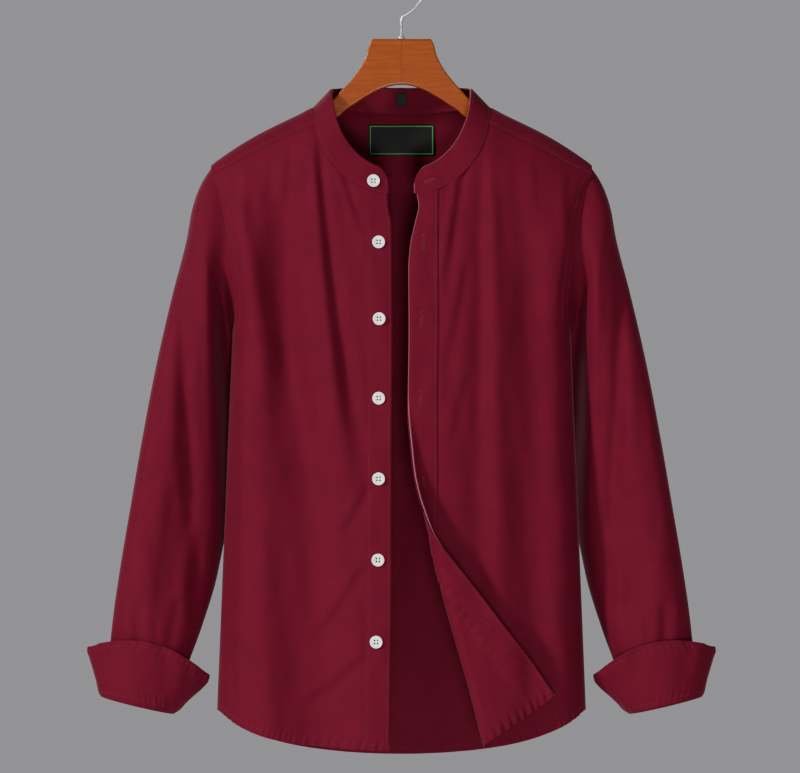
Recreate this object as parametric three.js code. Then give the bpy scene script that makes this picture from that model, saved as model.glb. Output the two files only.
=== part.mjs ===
// A long-sleeved shirt with a mandarin collar, hanging open on a wooden hanger.
// Sizes are millimetres. +Z is up, the front faces -Y, and the origin is the inside of the hook's bend,
// where a rail carries it. Each cloth piece is cut as a flat patch, laid on the garment's surface and
// given a wall. Tables hold the left half, as seen from the front, with x counted outwards.
import * as THREE from "three";

// Cloth and sewing
const CLOTH = 1.2;
const BAND = 1.1;
const CUFF_CLOTH = 2.0;
const SEAM_GAP = 0.3;
const COLLAR_HEIGHT = 31;
const COLLAR_END_RADIUS = 23;
const COLLAR_LIFT = 1.6;
const COLLAR_LEAN = { inward: 0.69, inwardEase: 2.5, frontBackward: 0.22, backForward: 0.28 };
const COLLAR_END_RUN = 150;

// Heights of the garment's landmarks
const NECK_POINT_Z = -172;
const YOKE_SEAM_Z = -248;
const UNDERARM_Z = -430;
const HEM_Z = -908;
const SIDE_HEM_RISE = 47;
const HEM_CURVE = { middle: 0.47, sides: 0.53 };
const BACK_HEM_DROP = { side: 3, centre: 10 };
const TURNED_CORNER_RISE = 16;

// Shoulder, neck and armhole
const NECK_HALF = 101;
const NECK_CENTRE_X = 10;
const NECK_DROP = 101;
const BACK_NECK_DEPTH = 43;
const YOKE_NECK_ANGLE = 0.19;
const SHOULDER_X = 218;
const UNDERARM_X = 194;
const HEM_HALF = 211.5;
const ARMHOLE_FRONT = 38;
const ARMHOLE_BACK = 34;
const ARMHOLE_TOP_EASE = 22;
const ROUNDNESS = 2.6;
const FRONT_ROLL = 110;
const BACK_ROLL_CENTRE = 30;
const BACK_ROLL_SHOULDER = 110;
const BACK_ROLL_FROM_X = 60;
const BELOW_ROLL = 50;

// The lower corner of the buttonhole front is turned outwards along this line
const FOLD = { topX: 8.6, topZ: -541, bottomX: 93, bottomZ: -907, lift: 0.03 };
// How tightly it rolls and how far the fold bows to the left, by the distance down the fold line
const CURL = [
  { down: -70, radius: 6, bow: -3 },
  { down: 0, radius: 10, bow: 0 },
  { down: 18, radius: 11.5, bow: 1.5 },
  { down: 38, radius: 14, bow: 3.8 },
  { down: 58, radius: 17, bow: 5 },
  { down: 77, radius: 19, bow: 4.8 },
  { down: 97, radius: 20, bow: 4.1 },
  { down: 118, radius: 18.5, bow: 4.4 },
  { down: 142, radius: 15, bow: 5.4 },
  { down: 186, radius: 12.7, bow: 5.4 },
  { down: 245, radius: 11.4, bow: 2.9 },
  { down: 307, radius: 10.4, bow: -0.3 },
  { down: 379, radius: 8, bow: -1.6 },
];

const SHOULDER_LINE = [
  { x: 0, z: -160 },
  { x: 50, z: -163 },
  { x: 100, z: NECK_POINT_Z },
  { x: 117, z: -180.3 },
  { x: 164, z: -203.4 },
  { x: 195, z: -222.2 },
  { x: 219, z: -240 },
  { x: 240, z: -262 },
];
const DEPTH = [
  { z: -150, front: 49, back: 48 },
  { z: -250, front: 51, back: 48 },
  { z: -340, front: 56, back: 49 },
  { z: UNDERARM_Z, front: 60, back: 52 },
  { z: -650, front: 62, back: 54 },
  { z: -920, front: 64, back: 55 },
];
const YOKE_FRONT_SEAM = [
  { x: 98.5, z: -190.3 },
  { x: 117, z: -199 },
  { x: 151, z: -214.5 },
  { x: 181.5, z: -230 },
  { x: 203, z: -242 },
  { x: SHOULDER_X - 0.5, z: -248 },
];
const ARMHOLE = [
  { z: -239, front: 218, back: 218 },
  { z: -248, front: 217.5, back: 217 },
  { z: -266, front: 211, back: 212 },
  { z: -306, front: 202, back: 206 },
  { z: -341, front: 196.5, back: 201 },
  { z: -364, front: 194, back: 198 },
  { z: -400, front: 190.5, back: 193 },
  { z: -420, front: 191.5, back: 192.5 },
  { z: UNDERARM_Z, front: UNDERARM_X, back: UNDERARM_X },
];
// The edges of the two fronts, as x to the viewer's right, and the width of the band sewn along each
const BUTTON_EDGE = [
  { z: -270, x: -15.5, band: 29 },
  { z: -290, x: -14.8, band: 29 },
  { z: -304, x: -12, band: 29 },
  { z: -345, x: -11, band: 29 },
  { z: -700, x: -11.5, band: 29 },
  { z: -915, x: -14, band: 29 },
];
const BUTTONHOLE_EDGE = [
  { z: -270, x: 17.5, band: 24 },
  { z: -286, x: 19.5, band: 22 },
  { z: -303, x: 16, band: 25.5 },
  { z: -331, x: 10, band: 31.5 },
  { z: -358, x: 8, band: 33.5 },
  { z: -500, x: 7.5, band: 33 },
  { z: -590, x: 9, band: 32 },
  { z: -664, x: 7, band: 32 },
  { z: -726, x: -1.3, band: 32 },
  { z: -755, x: -6, band: 32 },
  { z: -803, x: -10, band: 32 },
  { z: -893, x: -17.6, band: 32 },
];
// Soft folds: where each starts and ends, its half widths there, its bow and its rise from the cloth
const FOLD_FADES = { start: 0.22, end: 0.45 };
const BUTTON_SIDE_FOLDS = [
  { x0: -93, z0: -206, x1: -45, z1: -600, w0: 10, w1: 14, bow: -6, rise: -7 },
  { x0: -108, z0: -196, x1: -66, z1: -660, w0: 10, w1: 16, bow: -5, rise: 5 },
  { x0: -138, z0: -240, x1: -126, z1: -1100, w0: 19, w1: 25, bow: 0, rise: -7 },
  { x0: -180, z0: -240, x1: -174, z1: -1100, w0: 17, w1: 22, bow: 0, rise: 6 },
  { x0: -40, z0: -610, x1: -92, z1: -716, w0: 12, w1: 15, bow: 4, rise: -3 },
  { x0: -40, z0: -700, x1: -102, z1: -800, w0: 13, w1: 16, bow: 4, rise: -3 },
];
const BUTTONHOLE_SIDE_FOLDS = [
  { x0: 68, z0: -226, x1: 42, z1: -372, w0: 9, w1: 9, bow: 0, rise: -4 },
  { x0: 90, z0: -206, x1: 80, z1: -760, w0: 11, w1: 18, bow: 0, rise: -6 },
  { x0: 105, z0: -196, x1: 110, z1: -760, w0: 11, w1: 20, bow: 0, rise: 5 },
  { x0: 144, z0: -250, x1: 150, z1: -1100, w0: 17, w1: 21, bow: 0, rise: -7 },
  { x0: 180, z0: -250, x1: 188, z1: -1100, w0: 16, w1: 19, bow: 0, rise: 6 },
];
const BACK_FOLDS = [
  { x0: -120, z0: -262, x1: -96, z1: -860, w0: 16, w1: 28, bow: 6, rise: -7 },
  { x0: -60, z0: -262, x1: -48, z1: -880, w0: 16, w1: 28, bow: 4, rise: 5 },
  { x0: 10, z0: -262, x1: 4, z1: -880, w0: 16, w1: 32, bow: 4, rise: -6 },
  { x0: 66, z0: -262, x1: 58, z1: -880, w0: 16, w1: 28, bow: -4, rise: 5 },
  { x0: 118, z0: -262, x1: 104, z1: -850, w0: 16, w1: 26, bow: -6, rise: -7 },
];
// Sleeve sections: outer and inner points, the inner edge's place behind, and the depth each way
const SLEEVE = [
  { at: 0.0, outX: 219, outZ: -241, inX: 195.5, inZ: -431, inY: 0, front: 38, back: 34 },
  { at: 0.08, outX: 236, outZ: -268, inX: 197.2, inZ: -434, inY: 6, front: 41, back: 38 },
  { at: 0.17, outX: 247, outZ: -325, inX: 195.7, inZ: -441, inY: 18, front: 43, back: 40 },
  { at: 0.27, outX: 263, outZ: -387, inX: 193, inZ: -458, inY: 27, front: 44, back: 41 },
  { at: 0.38, outX: 281, outZ: -465, inX: 194, inZ: -497, inY: 34, front: 44, back: 41 },
  { at: 0.52, outX: 297, outZ: -548, inX: 197.5, inZ: -560, inY: 37, front: 43, back: 41 },
  { at: 0.66, outX: 311.5, outZ: -632, inX: 201, inZ: -636, inY: 36, front: 42, back: 40 },
  { at: 0.78, outX: 323, outZ: -700, inX: 212.5, inZ: -708, inY: 27, front: 40, back: 39 },
  { at: 0.88, outX: 331, outZ: -755, inX: 230, inZ: -768, inY: 10, front: 37, back: 36 },
  { at: 0.95, outX: 335.5, outZ: -797, inX: 246, inZ: -812, inY: 2, front: 33, back: 33 },
  { at: 1.0, outX: 339.9, outZ: -842.6, inX: 263.7, inZ: -860.9, inY: 0, front: 30.6, back: 30.6 },
];
const SLEEVE_FOLDS = [
  { x0: 214, z0: -270, x1: 200, z1: -640, w0: 10, w1: 13, bow: 0, rise: -9 },
  { x0: 250, z0: -300, x1: 262, z1: -560, w0: 14, w1: 20, bow: 2, rise: 4 },
  { x0: 262, z0: -430, x1: 266, z1: -690, w0: 16, w1: 19, bow: -10, rise: -6 },
  { x0: 246, z0: -660, x1: 262, z1: -810, w0: 14, w1: 13, bow: -2, rise: -6 },
  { x0: 300, z0: -700, x1: 292, z1: -805, w0: 14, w1: 13, bow: 2, rise: -4 },
];
// How far the sleeve's top stands off the armhole, at its sides and top, and where the tube takes over
const CAP = { sides: 1.2, top: 2.3, blend: 0.13 };
// Turned-back cuff: its fold below and its flared open edge above
const CUFF = {
  foldX: 303.5, foldZ: -857.5, foldHalf: 39.4, foldDepth: 31,
  rimX: 290.4, rimZ: -808, rimHalf: 75, rimDepth: 39, rimArch: 23, rimArchBehind: 5,
  tilt: 0.235, foldOpening: 0.1, rimOpening: 0.85, openingTurn: -0.15,
};
const CUFF_TURN = [
  { out: -0.2, up: 5.2 },
  { out: 0.6, up: 1.0 },
  { out: 3.2, up: -0.6 },
  { out: 5.6, up: 1.8 },
];

const BUTTON_ON_BAND = CLOTH / 2 + BAND + 3 * SEAM_GAP;
const BUTTON_ON_COLLAR = BAND / 2 + 1.5 * SEAM_GAP;
const COLLAR_BUTTON = { along: 0.043, up: 0.4 };
const BUTTON = { radius: 7.2, thickness: 2.6, rim: 1.3, dish: 0.5 };
const BUTTONS = [
  { name: "button_2", x: -26, z: -327.5 },
  { name: "button_3", x: -25.3, z: -415 },
  { name: "button_4", x: -25.5, z: -505.5 },
  { name: "button_5", x: -26, z: -597.5 },
  { name: "button_6", x: -26.8, z: -690 },
  { name: "button_7", x: -28.5, z: -783.5 },
];
const NECK_LABEL = { x: 0, z: -207, width: 75.4, height: 35.2 };
const SIZE_LABEL = { halfShare: 0.0093, from: 0.33, to: 0.79 };

// Hanger: its right half, down the neck, out along the arm, whose top follows the shoulder, and back underneath
const ARM_THICKNESS = 12;
const ARM_EDGE = 2;
const WOOD_TOP_Z = -92.6;
const UNDER_CLOTH = { nearNeck: 6.5, outwards: 3, from: 102, to: 130 };
const HANGER_NECK = [
  { x: 33.6, z: WOOD_TOP_Z },
  { x: 36.8, z: -97.8 },
  { x: 40.8, z: -112 },
  { x: 47.4, z: -125 },
  { x: 55.4, z: -136.5 },
  { x: 66.7, z: -149.4 },
  { x: 77, z: -160.5 },
  { x: 88, z: -169.3 },
];
const HANGER_ARM = [
  { x: 102, deep: 22.5 },
  { x: 130, deep: 21 },
  { x: 164, deep: 19.5 },
  { x: 190, deep: 18 },
];
const HANGER_TIP = [
  { x: 203, down: 0 },
  { x: 208, down: 8 },
  { x: 205, down: 16 },
];
const HANGER_UNDER = [
  { x: 72, z: -181.5 },
  { x: 63.5, z: -174 },
  { x: 52, z: -166.5 },
  { x: 36, z: -156.5 },
  { x: 20, z: -149 },
  { x: 7, z: -145.6 },
];
// Hook: its wire rises from the wood, leans out and turns round the rail
const HOOK_WIRE = 1.75;
const HOOK_RADIUS = 30;
const HOOK_STEM = [
  { x: 0, z: WOOD_TOP_Z + SEAM_GAP },
  { x: 0, z: -82 },
  { x: 0, z: -72 },
  { x: 2.2, z: -66.6 },
  { x: 8, z: -62.4 },
  { x: 14.5, z: -57.6 },
  { x: 20.2, z: -51.6 },
];
const HOOK_BEND = { fromDegrees: 125, toDegrees: -102, steps: 9 };

// Colours
const DYED_COTTON = { color: 0x7a1b2c, roughness: 0.85, metalness: 0 };
const LABEL_SATIN = { color: 0x121310, roughness: 0.6, metalness: 0 };
const WHITE_RESIN = { color: 0xf1ece8, roughness: 0.3, metalness: 0 };
const VARNISHED_BEECH = { color: 0x9d4c20, roughness: 0.35, metalness: 0 };
const CHROMED_STEEL = { color: 0xc9cbce, roughness: 0.15, metalness: 1 };

const { lerp, clamp, smoothstep, degToRad } = THREE.MathUtils;
const QUARTER = Math.PI / 2;
const vector = (x, y, z) => new THREE.Vector3(x, y, z);

// Reads one column of a table at any place between its rows, on a smooth curve that never overshoots.
function read(table, by, key, place) {
  const rows = table[0][by] < table[table.length - 1][by] ? table : [...table].reverse();
  const last = rows.length - 1;
  const at = clamp(place, rows[0][by], rows[last][by]);
  const slope = (i) => (rows[i + 1][key] - rows[i][key]) / (rows[i + 1][by] - rows[i][by]);
  const tangent = (i) => {
    if (i === 0) return slope(0);
    if (i === last) return slope(last - 1);
    const before = slope(i - 1);
    const after = slope(i);
    return before * after <= 0 ? 0 : (2 * before * after) / (before + after);
  };
  let i = 0;
  while (i < last - 1 && at > rows[i + 1][by]) i++;
  const step = rows[i + 1][by] - rows[i][by];
  const t = (at - rows[i][by]) / step;
  const rest = 1 - t;
  return rows[i][key] * (1 + 2 * t) * rest * rest + rows[i + 1][key] * (3 - 2 * t) * t * t
    + step * t * rest * (tangent(i) * rest - tangent(i + 1) * t);
}

// How far the folds lift the cloth at a place.
function foldRise(folds, x, z) {
  return folds.reduce((sum, fold) => {
    const t = (fold.z0 - z) / (fold.z0 - fold.z1);
    if (t <= 0 || t >= 1) return sum;
    const middle = lerp(fold.x0, fold.x1, t) + fold.bow * 4 * t * (1 - t);
    const slant = Math.hypot(1, (fold.x1 - fold.x0) / (fold.z1 - fold.z0));
    const across = (x - middle) / (lerp(fold.w0, fold.w1, t) * slant);
    return sum + fold.rise * Math.exp(-across * across) * smoothstep(t, 0, FOLD_FADES.start)
      * smoothstep(1 - t, 0, FOLD_FADES.end);
  }, 0);
}

// The torso's surface
const shoulderZ = (x) => read(SHOULDER_LINE, "x", "z", Math.abs(x));
const hemZ = (x) => {
  const share = Math.min(1, Math.abs(x) / HEM_HALF);
  return HEM_Z + SIDE_HEM_RISE * (HEM_CURVE.middle * share ** 2 + HEM_CURVE.sides * share ** 6);
};
const sideX = (z) => lerp(UNDERARM_X, HEM_HALF, (UNDERARM_Z - z) / (UNDERARM_Z - HEM_Z - SIDE_HEM_RISE));
const rollHeight = (side, x) => {
  const outwards = smoothstep(Math.abs(x), BACK_ROLL_FROM_X, SHOULDER_X);
  return side === "front" ? FRONT_ROLL : lerp(BACK_ROLL_CENTRE, BACK_ROLL_SHOULDER, outwards);
};
const rounded = (share) => (1 - clamp(Math.abs(share), 0, 1) ** ROUNDNESS) ** (1 / ROUNDNESS);

// The half width that brings the surface to the armhole's depth at its edge, and to the side seam below it.
function halfWidth(side, z) {
  if (z <= UNDERARM_Z) return sideX(z);
  const at = Math.min(z, ARMHOLE[0].z - ARMHOLE_TOP_EASE);
  const top = ARMHOLE[0].z;
  const height = (at - (top + UNDERARM_Z) / 2) / ((top - UNDERARM_Z) / 2);
  const reach = (side === "front" ? ARMHOLE_FRONT : ARMHOLE_BACK) * Math.sqrt(1 - height * height);
  const edge = read(ARMHOLE, "z", side, at);
  const drop = Math.min(1, (shoulderZ(edge) - at) / rollHeight(side, edge));
  const full = read(DEPTH, "z", side, at) * Math.sqrt(1 - (1 - drop) ** 2);
  return edge / (1 - Math.min(0.85, reach / full) ** ROUNDNESS) ** (1 / ROUNDNESS);
}

// The outer edge of a body piece: the armhole, and the side seam below it.
const edgeX = (side, z) => (z > UNDERARM_Z ? read(ARMHOLE, "z", side, z) : sideX(z));

// A point of the torso by x and its turn over the shoulder: 0 on the shoulder line, a quarter where the
// roll ends, and straight down past that.
function overShoulder(side, x, turn) {
  const roll = rollHeight(side, x);
  const drop = turn < QUARTER ? roll * (1 - Math.cos(turn)) : roll + (turn - QUARTER) * BELOW_ROLL;
  const z = shoulderZ(x) - drop;
  const depth = read(DEPTH, "z", side, z) * rounded(x / halfWidth(side, z));
  const y = depth * Math.sin(Math.min(turn, QUARTER));
  return vector(x, side === "front" ? -y : y, z);
}
function turnAt(side, x, z) {
  const drop = Math.max(0, shoulderZ(x) - z);
  const roll = rollHeight(side, x);
  return drop < roll ? Math.acos(1 - drop / roll) : QUARTER + (drop - roll) / BELOW_ROLL;
}
function onTorso(side, x, z, folds = []) {
  const point = overShoulder(side, x, turnAt(side, x, z));
  const rise = foldRise(folds, x, z) * rounded(x / halfWidth(side, z));
  return vector(x, point.y + (side === "front" ? -rise : rise), z);
}

// The neck seam: 0 at the button side's end, a half at the centre back, 1 at the buttonhole side's end.
const NECK_END_TURN = 1.52;
const FRONT_SHARE = 0.29;
function neckSeam(along) {
  const hand = along < 0.5 ? -1 : 1;
  const share = along < 0.5 ? along : 1 - along;
  if (share < FRONT_SHARE) {
    const turn = NECK_END_TURN * (1 - share / FRONT_SHARE);
    const x = NECK_CENTRE_X + (NECK_HALF - NECK_CENTRE_X) * Math.cos(turn);
    return { hand, turn, point: onTorso("front", hand * x, NECK_POINT_Z - NECK_DROP * Math.sin(turn)) };
  }
  const turn = -QUARTER * ((share - FRONT_SHARE) / (0.5 - FRONT_SHARE));
  const x = hand * NECK_HALF * Math.cos(turn);
  const depth = read(DEPTH, "z", "back", NECK_POINT_Z);
  const over = Math.asin(clamp((-BACK_NECK_DEPTH * Math.sin(turn)) / depth, 0, 0.97));
  return { hand, turn, point: overShoulder("back", x, over) };
}

// Patches and walls
// Rows and columns of points, and the triangles between them. A round patch closes on its first column.
function patch(columns, rows, pointAt, round = false) {
  const across = round ? columns : columns + 1;
  const points = [];
  for (let row = 0; row <= rows; row++)
    for (let column = 0; column < across; column++) points.push(pointAt(column / columns, row / rows));
  const triangles = [];
  for (let row = 0; row < rows; row++)
    for (let column = 0; column < columns; column++) {
      const next = (column + 1) % across;
      const [a, b, c, d] = [row * across + column, row * across + next, (row + 1) * across + next,
        (row + 1) * across + column];
      triangles.push([a, d, b], [b, d, c]);
    }
  return { points, triangles };
}

// Splits a flat patch's triangles where a distance from a line is crossed, so that a fold can follow it.
function cutAcross({ points, triangles }, distance) {
  const far = points.map(distance);
  const made = new Map();
  const between = (a, b) => {
    const key = a < b ? `${a},${b}` : `${b},${a}`;
    if (!made.has(key)) {
      made.set(key, points.length);
      points.push(points[a].clone().lerp(points[b], far[a] / (far[a] - far[b])));
    }
    return made.get(key);
  };
  const NEAR = 0.4;
  const side = far.map((d) => (Math.abs(d) < NEAR ? 0 : Math.sign(d)));
  const cut = [];
  for (const triangle of triangles) {
    const first = triangle.findIndex((a, i) => {
      const [b, c] = [triangle[(i + 1) % 3], triangle[(i + 2) % 3]];
      return (side[a] !== 0 && side[b] === -side[a] && side[c] !== side[a])
        || (side[a] === 0 && side[b] * side[c] < 0);
    });
    if (first < 0) {
      cut.push(triangle);
      continue;
    }
    const [a, b, c] = [0, 1, 2].map((i) => triangle[(first + i) % 3]);
    if (side[a] === 0) cut.push([a, b, between(b, c)], [a, between(b, c), c]);
    else if (side[c] === 0) cut.push([a, between(a, b), c], [between(a, b), b, c]);
    else cut.push([a, between(a, b), between(a, c)], [between(a, b), b, c], [between(a, b), c, between(a, c)]);
  }
  return { points, triangles: cut };
}

// A wall round a patch, with its middle moved out from it by lift.
function wall({ points, triangles }, thickness, lift = 0) {
  const normals = points.map(() => vector(0, 0, 0));
  for (const [a, b, c] of triangles) {
    const normal = points[b].clone().sub(points[a]).cross(points[c].clone().sub(points[a]));
    for (const corner of [a, b, c]) normals[corner].add(normal);
  }
  const used = [...new Set(triangles.flat())].sort((a, b) => a - b);
  const index = new Map(used.map((point, i) => [point, i]));
  const shell = (offset) =>
    used.map((i) => points[i].clone().addScaledVector(normals[i].clone().normalize(), lift + offset));
  const corners = [...shell(thickness / 2), ...shell(-thickness / 2)];
  const inner = used.length;
  const faces = [];
  const open = new Map();
  for (const triangle of triangles) {
    const [a, b, c] = triangle.map((corner) => index.get(corner));
    faces.push([a, b, c], [a + inner, c + inner, b + inner]);
    for (const [from, to] of [[a, b], [b, c], [c, a]])
      if (!open.delete(`${to},${from}`)) open.set(`${from},${to}`, [from, to]);
  }
  for (const [from, to] of open.values()) faces.push([to, from, from + inner], [to, from + inner, to + inner]);
  const geometry = new THREE.BufferGeometry().setFromPoints(corners);
  geometry.setIndex(faces.flat());
  geometry.computeVertexNormals();
  return geometry;
}

// Fronts
// Columns across the band, and then along the neck, the yoke seam and the armhole to the side seam.
const FRONT_COLUMNS = { band: 2, neck: 4, yoke: 4, armhole: 7 };
const FRONT_ROWS = 19;
const BODY_COLUMNS = FRONT_COLUMNS.neck + FRONT_COLUMNS.yoke + FRONT_COLUMNS.armhole;
const ARMHOLE_EDGE_GAP = 0.5;

// How far down the armhole a share of its columns reaches.
const downArmhole = (share) => (share + Math.sin(share * QUARTER)) / 2;

const neckZ = (x) => {
  const across = clamp((Math.abs(x) - NECK_CENTRE_X) / (NECK_HALF - NECK_CENTRE_X), 0, 1);
  return NECK_POINT_Z - NECK_DROP * Math.sqrt(1 - across * across) - SEAM_GAP;
};
// Across the band, from 0 at the front's edge to 1 at the band's seam
const acrossBand = (hand, edge, z, share) => hand * read(edge, "z", "x", z) + share * read(edge, "z", "band", z);
const bandInnerX = (hand, edge, z) => acrossBand(hand, edge, z, 1);

// The turned corner's hem is cut a little higher towards the front edge.
const frontHemZ = (hand, x) =>
  hemZ(x) + (hand > 0 ? TURNED_CORNER_RISE * clamp((FOLD.bottomX - x) / FOLD.bottomX, 0, 1.2) : 0);

// The top edge of a front at a share of the way from the band to the underarm, as x outwards and z.
function frontTop(share, hand, edge) {
  const column = share * BODY_COLUMNS;
  if (column <= FRONT_COLUMNS.neck) {
    const bandX = bandInnerX(hand, edge, neckZ(45));
    const endTurn = Math.acos((bandX - NECK_CENTRE_X) / (NECK_HALF - NECK_CENTRE_X));
    const turn = lerp(endTurn, YOKE_NECK_ANGLE, column / FRONT_COLUMNS.neck);
    const x = NECK_CENTRE_X + (NECK_HALF - NECK_CENTRE_X) * Math.cos(turn);
    return { x, z: NECK_POINT_Z - NECK_DROP * Math.sin(turn) - SEAM_GAP };
  }
  if (column <= FRONT_COLUMNS.neck + FRONT_COLUMNS.yoke) {
    const along = (column - FRONT_COLUMNS.neck) / FRONT_COLUMNS.yoke;
    const x = lerp(YOKE_FRONT_SEAM[0].x, YOKE_FRONT_SEAM[YOKE_FRONT_SEAM.length - 1].x, along);
    return { x, z: read(YOKE_FRONT_SEAM, "x", "z", x) - SEAM_GAP };
  }
  const along = (column - FRONT_COLUMNS.neck - FRONT_COLUMNS.yoke) / FRONT_COLUMNS.armhole;
  const start = YOKE_FRONT_SEAM[YOKE_FRONT_SEAM.length - 1].z - SEAM_GAP;
  const z = lerp(start, UNDERARM_Z, downArmhole(along));
  return { x: read(ARMHOLE, "z", "front", z) - ARMHOLE_EDGE_GAP * (1 - along), z };
}

// A front laid flat against the viewer's plane: x outwards from the middle, y for its height.
function flatFront(hand, edge) {
  const columns = FRONT_COLUMNS.band + BODY_COLUMNS;
  return patch(columns, FRONT_ROWS, (u, v) => {
    const column = Math.round(u * columns);
    const share = Math.max(0, column - FRONT_COLUMNS.band) / BODY_COLUMNS;
    if (column < FRONT_COLUMNS.band) {
      const across = column / FRONT_COLUMNS.band;
      const top = neckZ(acrossBand(hand, edge, NECK_POINT_Z - NECK_DROP, across));
      const z = lerp(top, frontHemZ(hand, acrossBand(hand, edge, HEM_Z, across)), v);
      return vector(acrossBand(hand, edge, z, across), z, 0);
    }
    const top = frontTop(share, hand, edge);
    const spread = Math.sin(share * QUARTER);
    const bandAt = (z) => bandInnerX(hand, edge, z);
    const bottomX = lerp(bandAt(HEM_Z), HEM_HALF, spread);
    const z = lerp(top.z, frontHemZ(hand, bottomX), v);
    const topShare = (top.x - bandAt(top.z)) / (edgeX("front", top.z) - bandAt(top.z));
    const acrossShare = lerp(topShare, spread, 1 - (1 - v) ** 3);
    return vector(lerp(bandAt(z), edgeX("front", z), acrossShare), z, 0);
  });
}

// How far a place on the buttonhole front lies past the fold line, towards the front edge.
const foldAlong = new THREE.Vector2(FOLD.bottomX - FOLD.topX, FOLD.bottomZ - FOLD.topZ).normalize();
const foldOut = new THREE.Vector2(foldAlong.y, -foldAlong.x);
const curl = (point, key) =>
  read(CURL, "down", key, (point.x - FOLD.topX) * foldAlong.x + (point.y - FOLD.topZ) * foldAlong.y);
const curlRadius = (point) => curl(point, "radius");
const pastFold = (point) =>
  (point.x - FOLD.topX) * foldOut.x + (point.y - FOLD.topZ) * foldOut.y + curlRadius(point) - curl(point, "bow");

// Rolls what lies past the fold line round and back over the front.
function turnedBack(point, folds) {
  const past = pastFold(point);
  if (past <= 0) return onTorso("front", point.x, point.y, folds);
  const radius = curlRadius(point);
  const turn = Math.min(past / radius, Math.PI);
  const flat = Math.max(0, past - Math.PI * radius);
  const shift = radius * Math.sin(turn) - flat - past;
  const x = point.x + foldOut.x * shift;
  const z = point.y + foldOut.y * shift;
  const forward = radius * (1 - Math.cos(turn)) + FOLD.lift * flat;
  return onTorso("front", x, z, folds).add(vector(0, -forward, 0));
}

const bandOf = ({ points, triangles }, flat, hand, edge) => ({
  points,
  triangles: triangles.filter((triangle) =>
    triangle.every((i) => flat.points[i].x < bandInnerX(hand, edge, flat.points[i].y) + 0.01)),
});
const reversed = ({ points, triangles }) => ({ points, triangles: triangles.map(([a, b, c]) => [a, c, b]) });

function fronts() {
  const left = flatFront(-1, BUTTON_EDGE);
  const laidLeft = reversed({
    points: left.points.map((p) => onTorso("front", -p.x, p.y, BUTTON_SIDE_FOLDS)),
    triangles: left.triangles,
  });
  let right = flatFront(1, BUTTONHOLE_EDGE);
  for (const turns of [0, 0.25, 0.5, 0.75, 1])
    right = cutAcross(right, (point) => pastFold(point) - turns * Math.PI * curlRadius(point));
  const laidRight = {
    points: right.points.map((p) => turnedBack(p, BUTTONHOLE_SIDE_FOLDS)),
    triangles: right.triangles,
  };
  const bandLift = CLOTH / 2 + SEAM_GAP + BAND / 2;
  return {
    front_button_side: wall(laidLeft, CLOTH),
    front_buttonhole_side: wall(laidRight, CLOTH),
    button_band: wall(bandOf(laidLeft, left, -1, BUTTON_EDGE), BAND, bandLift),
    buttonhole_band: wall(bandOf(laidRight, right, 1, BUTTONHOLE_EDGE), BAND, bandLift),
  };
}

// Back and yoke
const BACK_COLUMNS = { seam: 5, armhole: 6 };
const BACK_ROWS = 15;
function backPanel() {
  const half = BACK_COLUMNS.seam + BACK_COLUMNS.armhole;
  const seamEnd = read(ARMHOLE, "z", "back", YOKE_SEAM_Z) - ARMHOLE_EDGE_GAP;
  return wall(patch(2 * half, BACK_ROWS, (u, v) => {
    const hand = u < 0.5 ? 1 : -1;
    const column = Math.abs(u - 0.5) * 2 * half;
    const armShare = Math.max(0, column - BACK_COLUMNS.seam) / BACK_COLUMNS.armhole;
    const topZ = lerp(YOKE_SEAM_Z - SEAM_GAP, UNDERARM_Z, downArmhole(armShare));
    const topX = column <= BACK_COLUMNS.seam
      ? (seamEnd * column) / BACK_COLUMNS.seam
      : read(ARMHOLE, "z", "back", topZ) - ARMHOLE_EDGE_GAP * (1 - armShare);
    const spread = Math.sin((column / half) * QUARTER);
    const hemDrop = lerp(BACK_HEM_DROP.centre, BACK_HEM_DROP.side, spread ** 2);
    const z = lerp(topZ, hemZ(HEM_HALF * spread) - hemDrop, v);
    const share = lerp(topX / edgeX("back", topZ), spread, 1 - (1 - v) ** 3);
    const edgeGap = column === half ? SEAM_GAP : 0;
    const point = onTorso("back", hand * share * edgeX("back", z), z, BACK_FOLDS);
    return point.add(vector(0, edgeGap, 0));
  }), CLOTH);
}

const YOKE_COLUMNS = { front: 4, neck: 20 };
const YOKE_ROWS = 8;
function yoke() {
  const columns = 2 * YOKE_COLUMNS.front + YOKE_COLUMNS.neck;
  const neckStart = FRONT_SHARE * (1 - YOKE_NECK_ANGLE / NECK_END_TURN);
  return wall(patch(columns, YOKE_ROWS, (u, v) => {
    const column = u * columns;
    const hand = u < 0.5 ? -1 : 1;
    const fromEnd = Math.min(column, columns - column);
    let start;
    let turn;
    if (fromEnd < YOKE_COLUMNS.front) {
      start = lerp(SHOULDER_X - 0.8, YOKE_FRONT_SEAM[0].x, fromEnd / YOKE_COLUMNS.front);
      turn = -turnAt("front", start, read(YOKE_FRONT_SEAM, "x", "z", start));
      start *= hand;
    } else {
      const along = (column - YOKE_COLUMNS.front) / YOKE_COLUMNS.neck;
      const { point, turn: side } = neckSeam(lerp(neckStart, 1 - neckStart, along));
      start = point.x;
      turn = side > 0 ? -turnAt("front", point.x, point.z) : turnAt("back", point.x, point.z);
    }
    const endX = lerp(-1, 1, u) * (SHOULDER_X - 1);
    const x = lerp(start, endX, v);
    const endTurn = turnAt("back", endX, YOKE_SEAM_Z + SEAM_GAP);
    const at = lerp(turn, endTurn, v);
    return at < 0 ? overShoulder("front", x, -at) : overShoulder("back", x, at);
  }), CLOTH);
}

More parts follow.
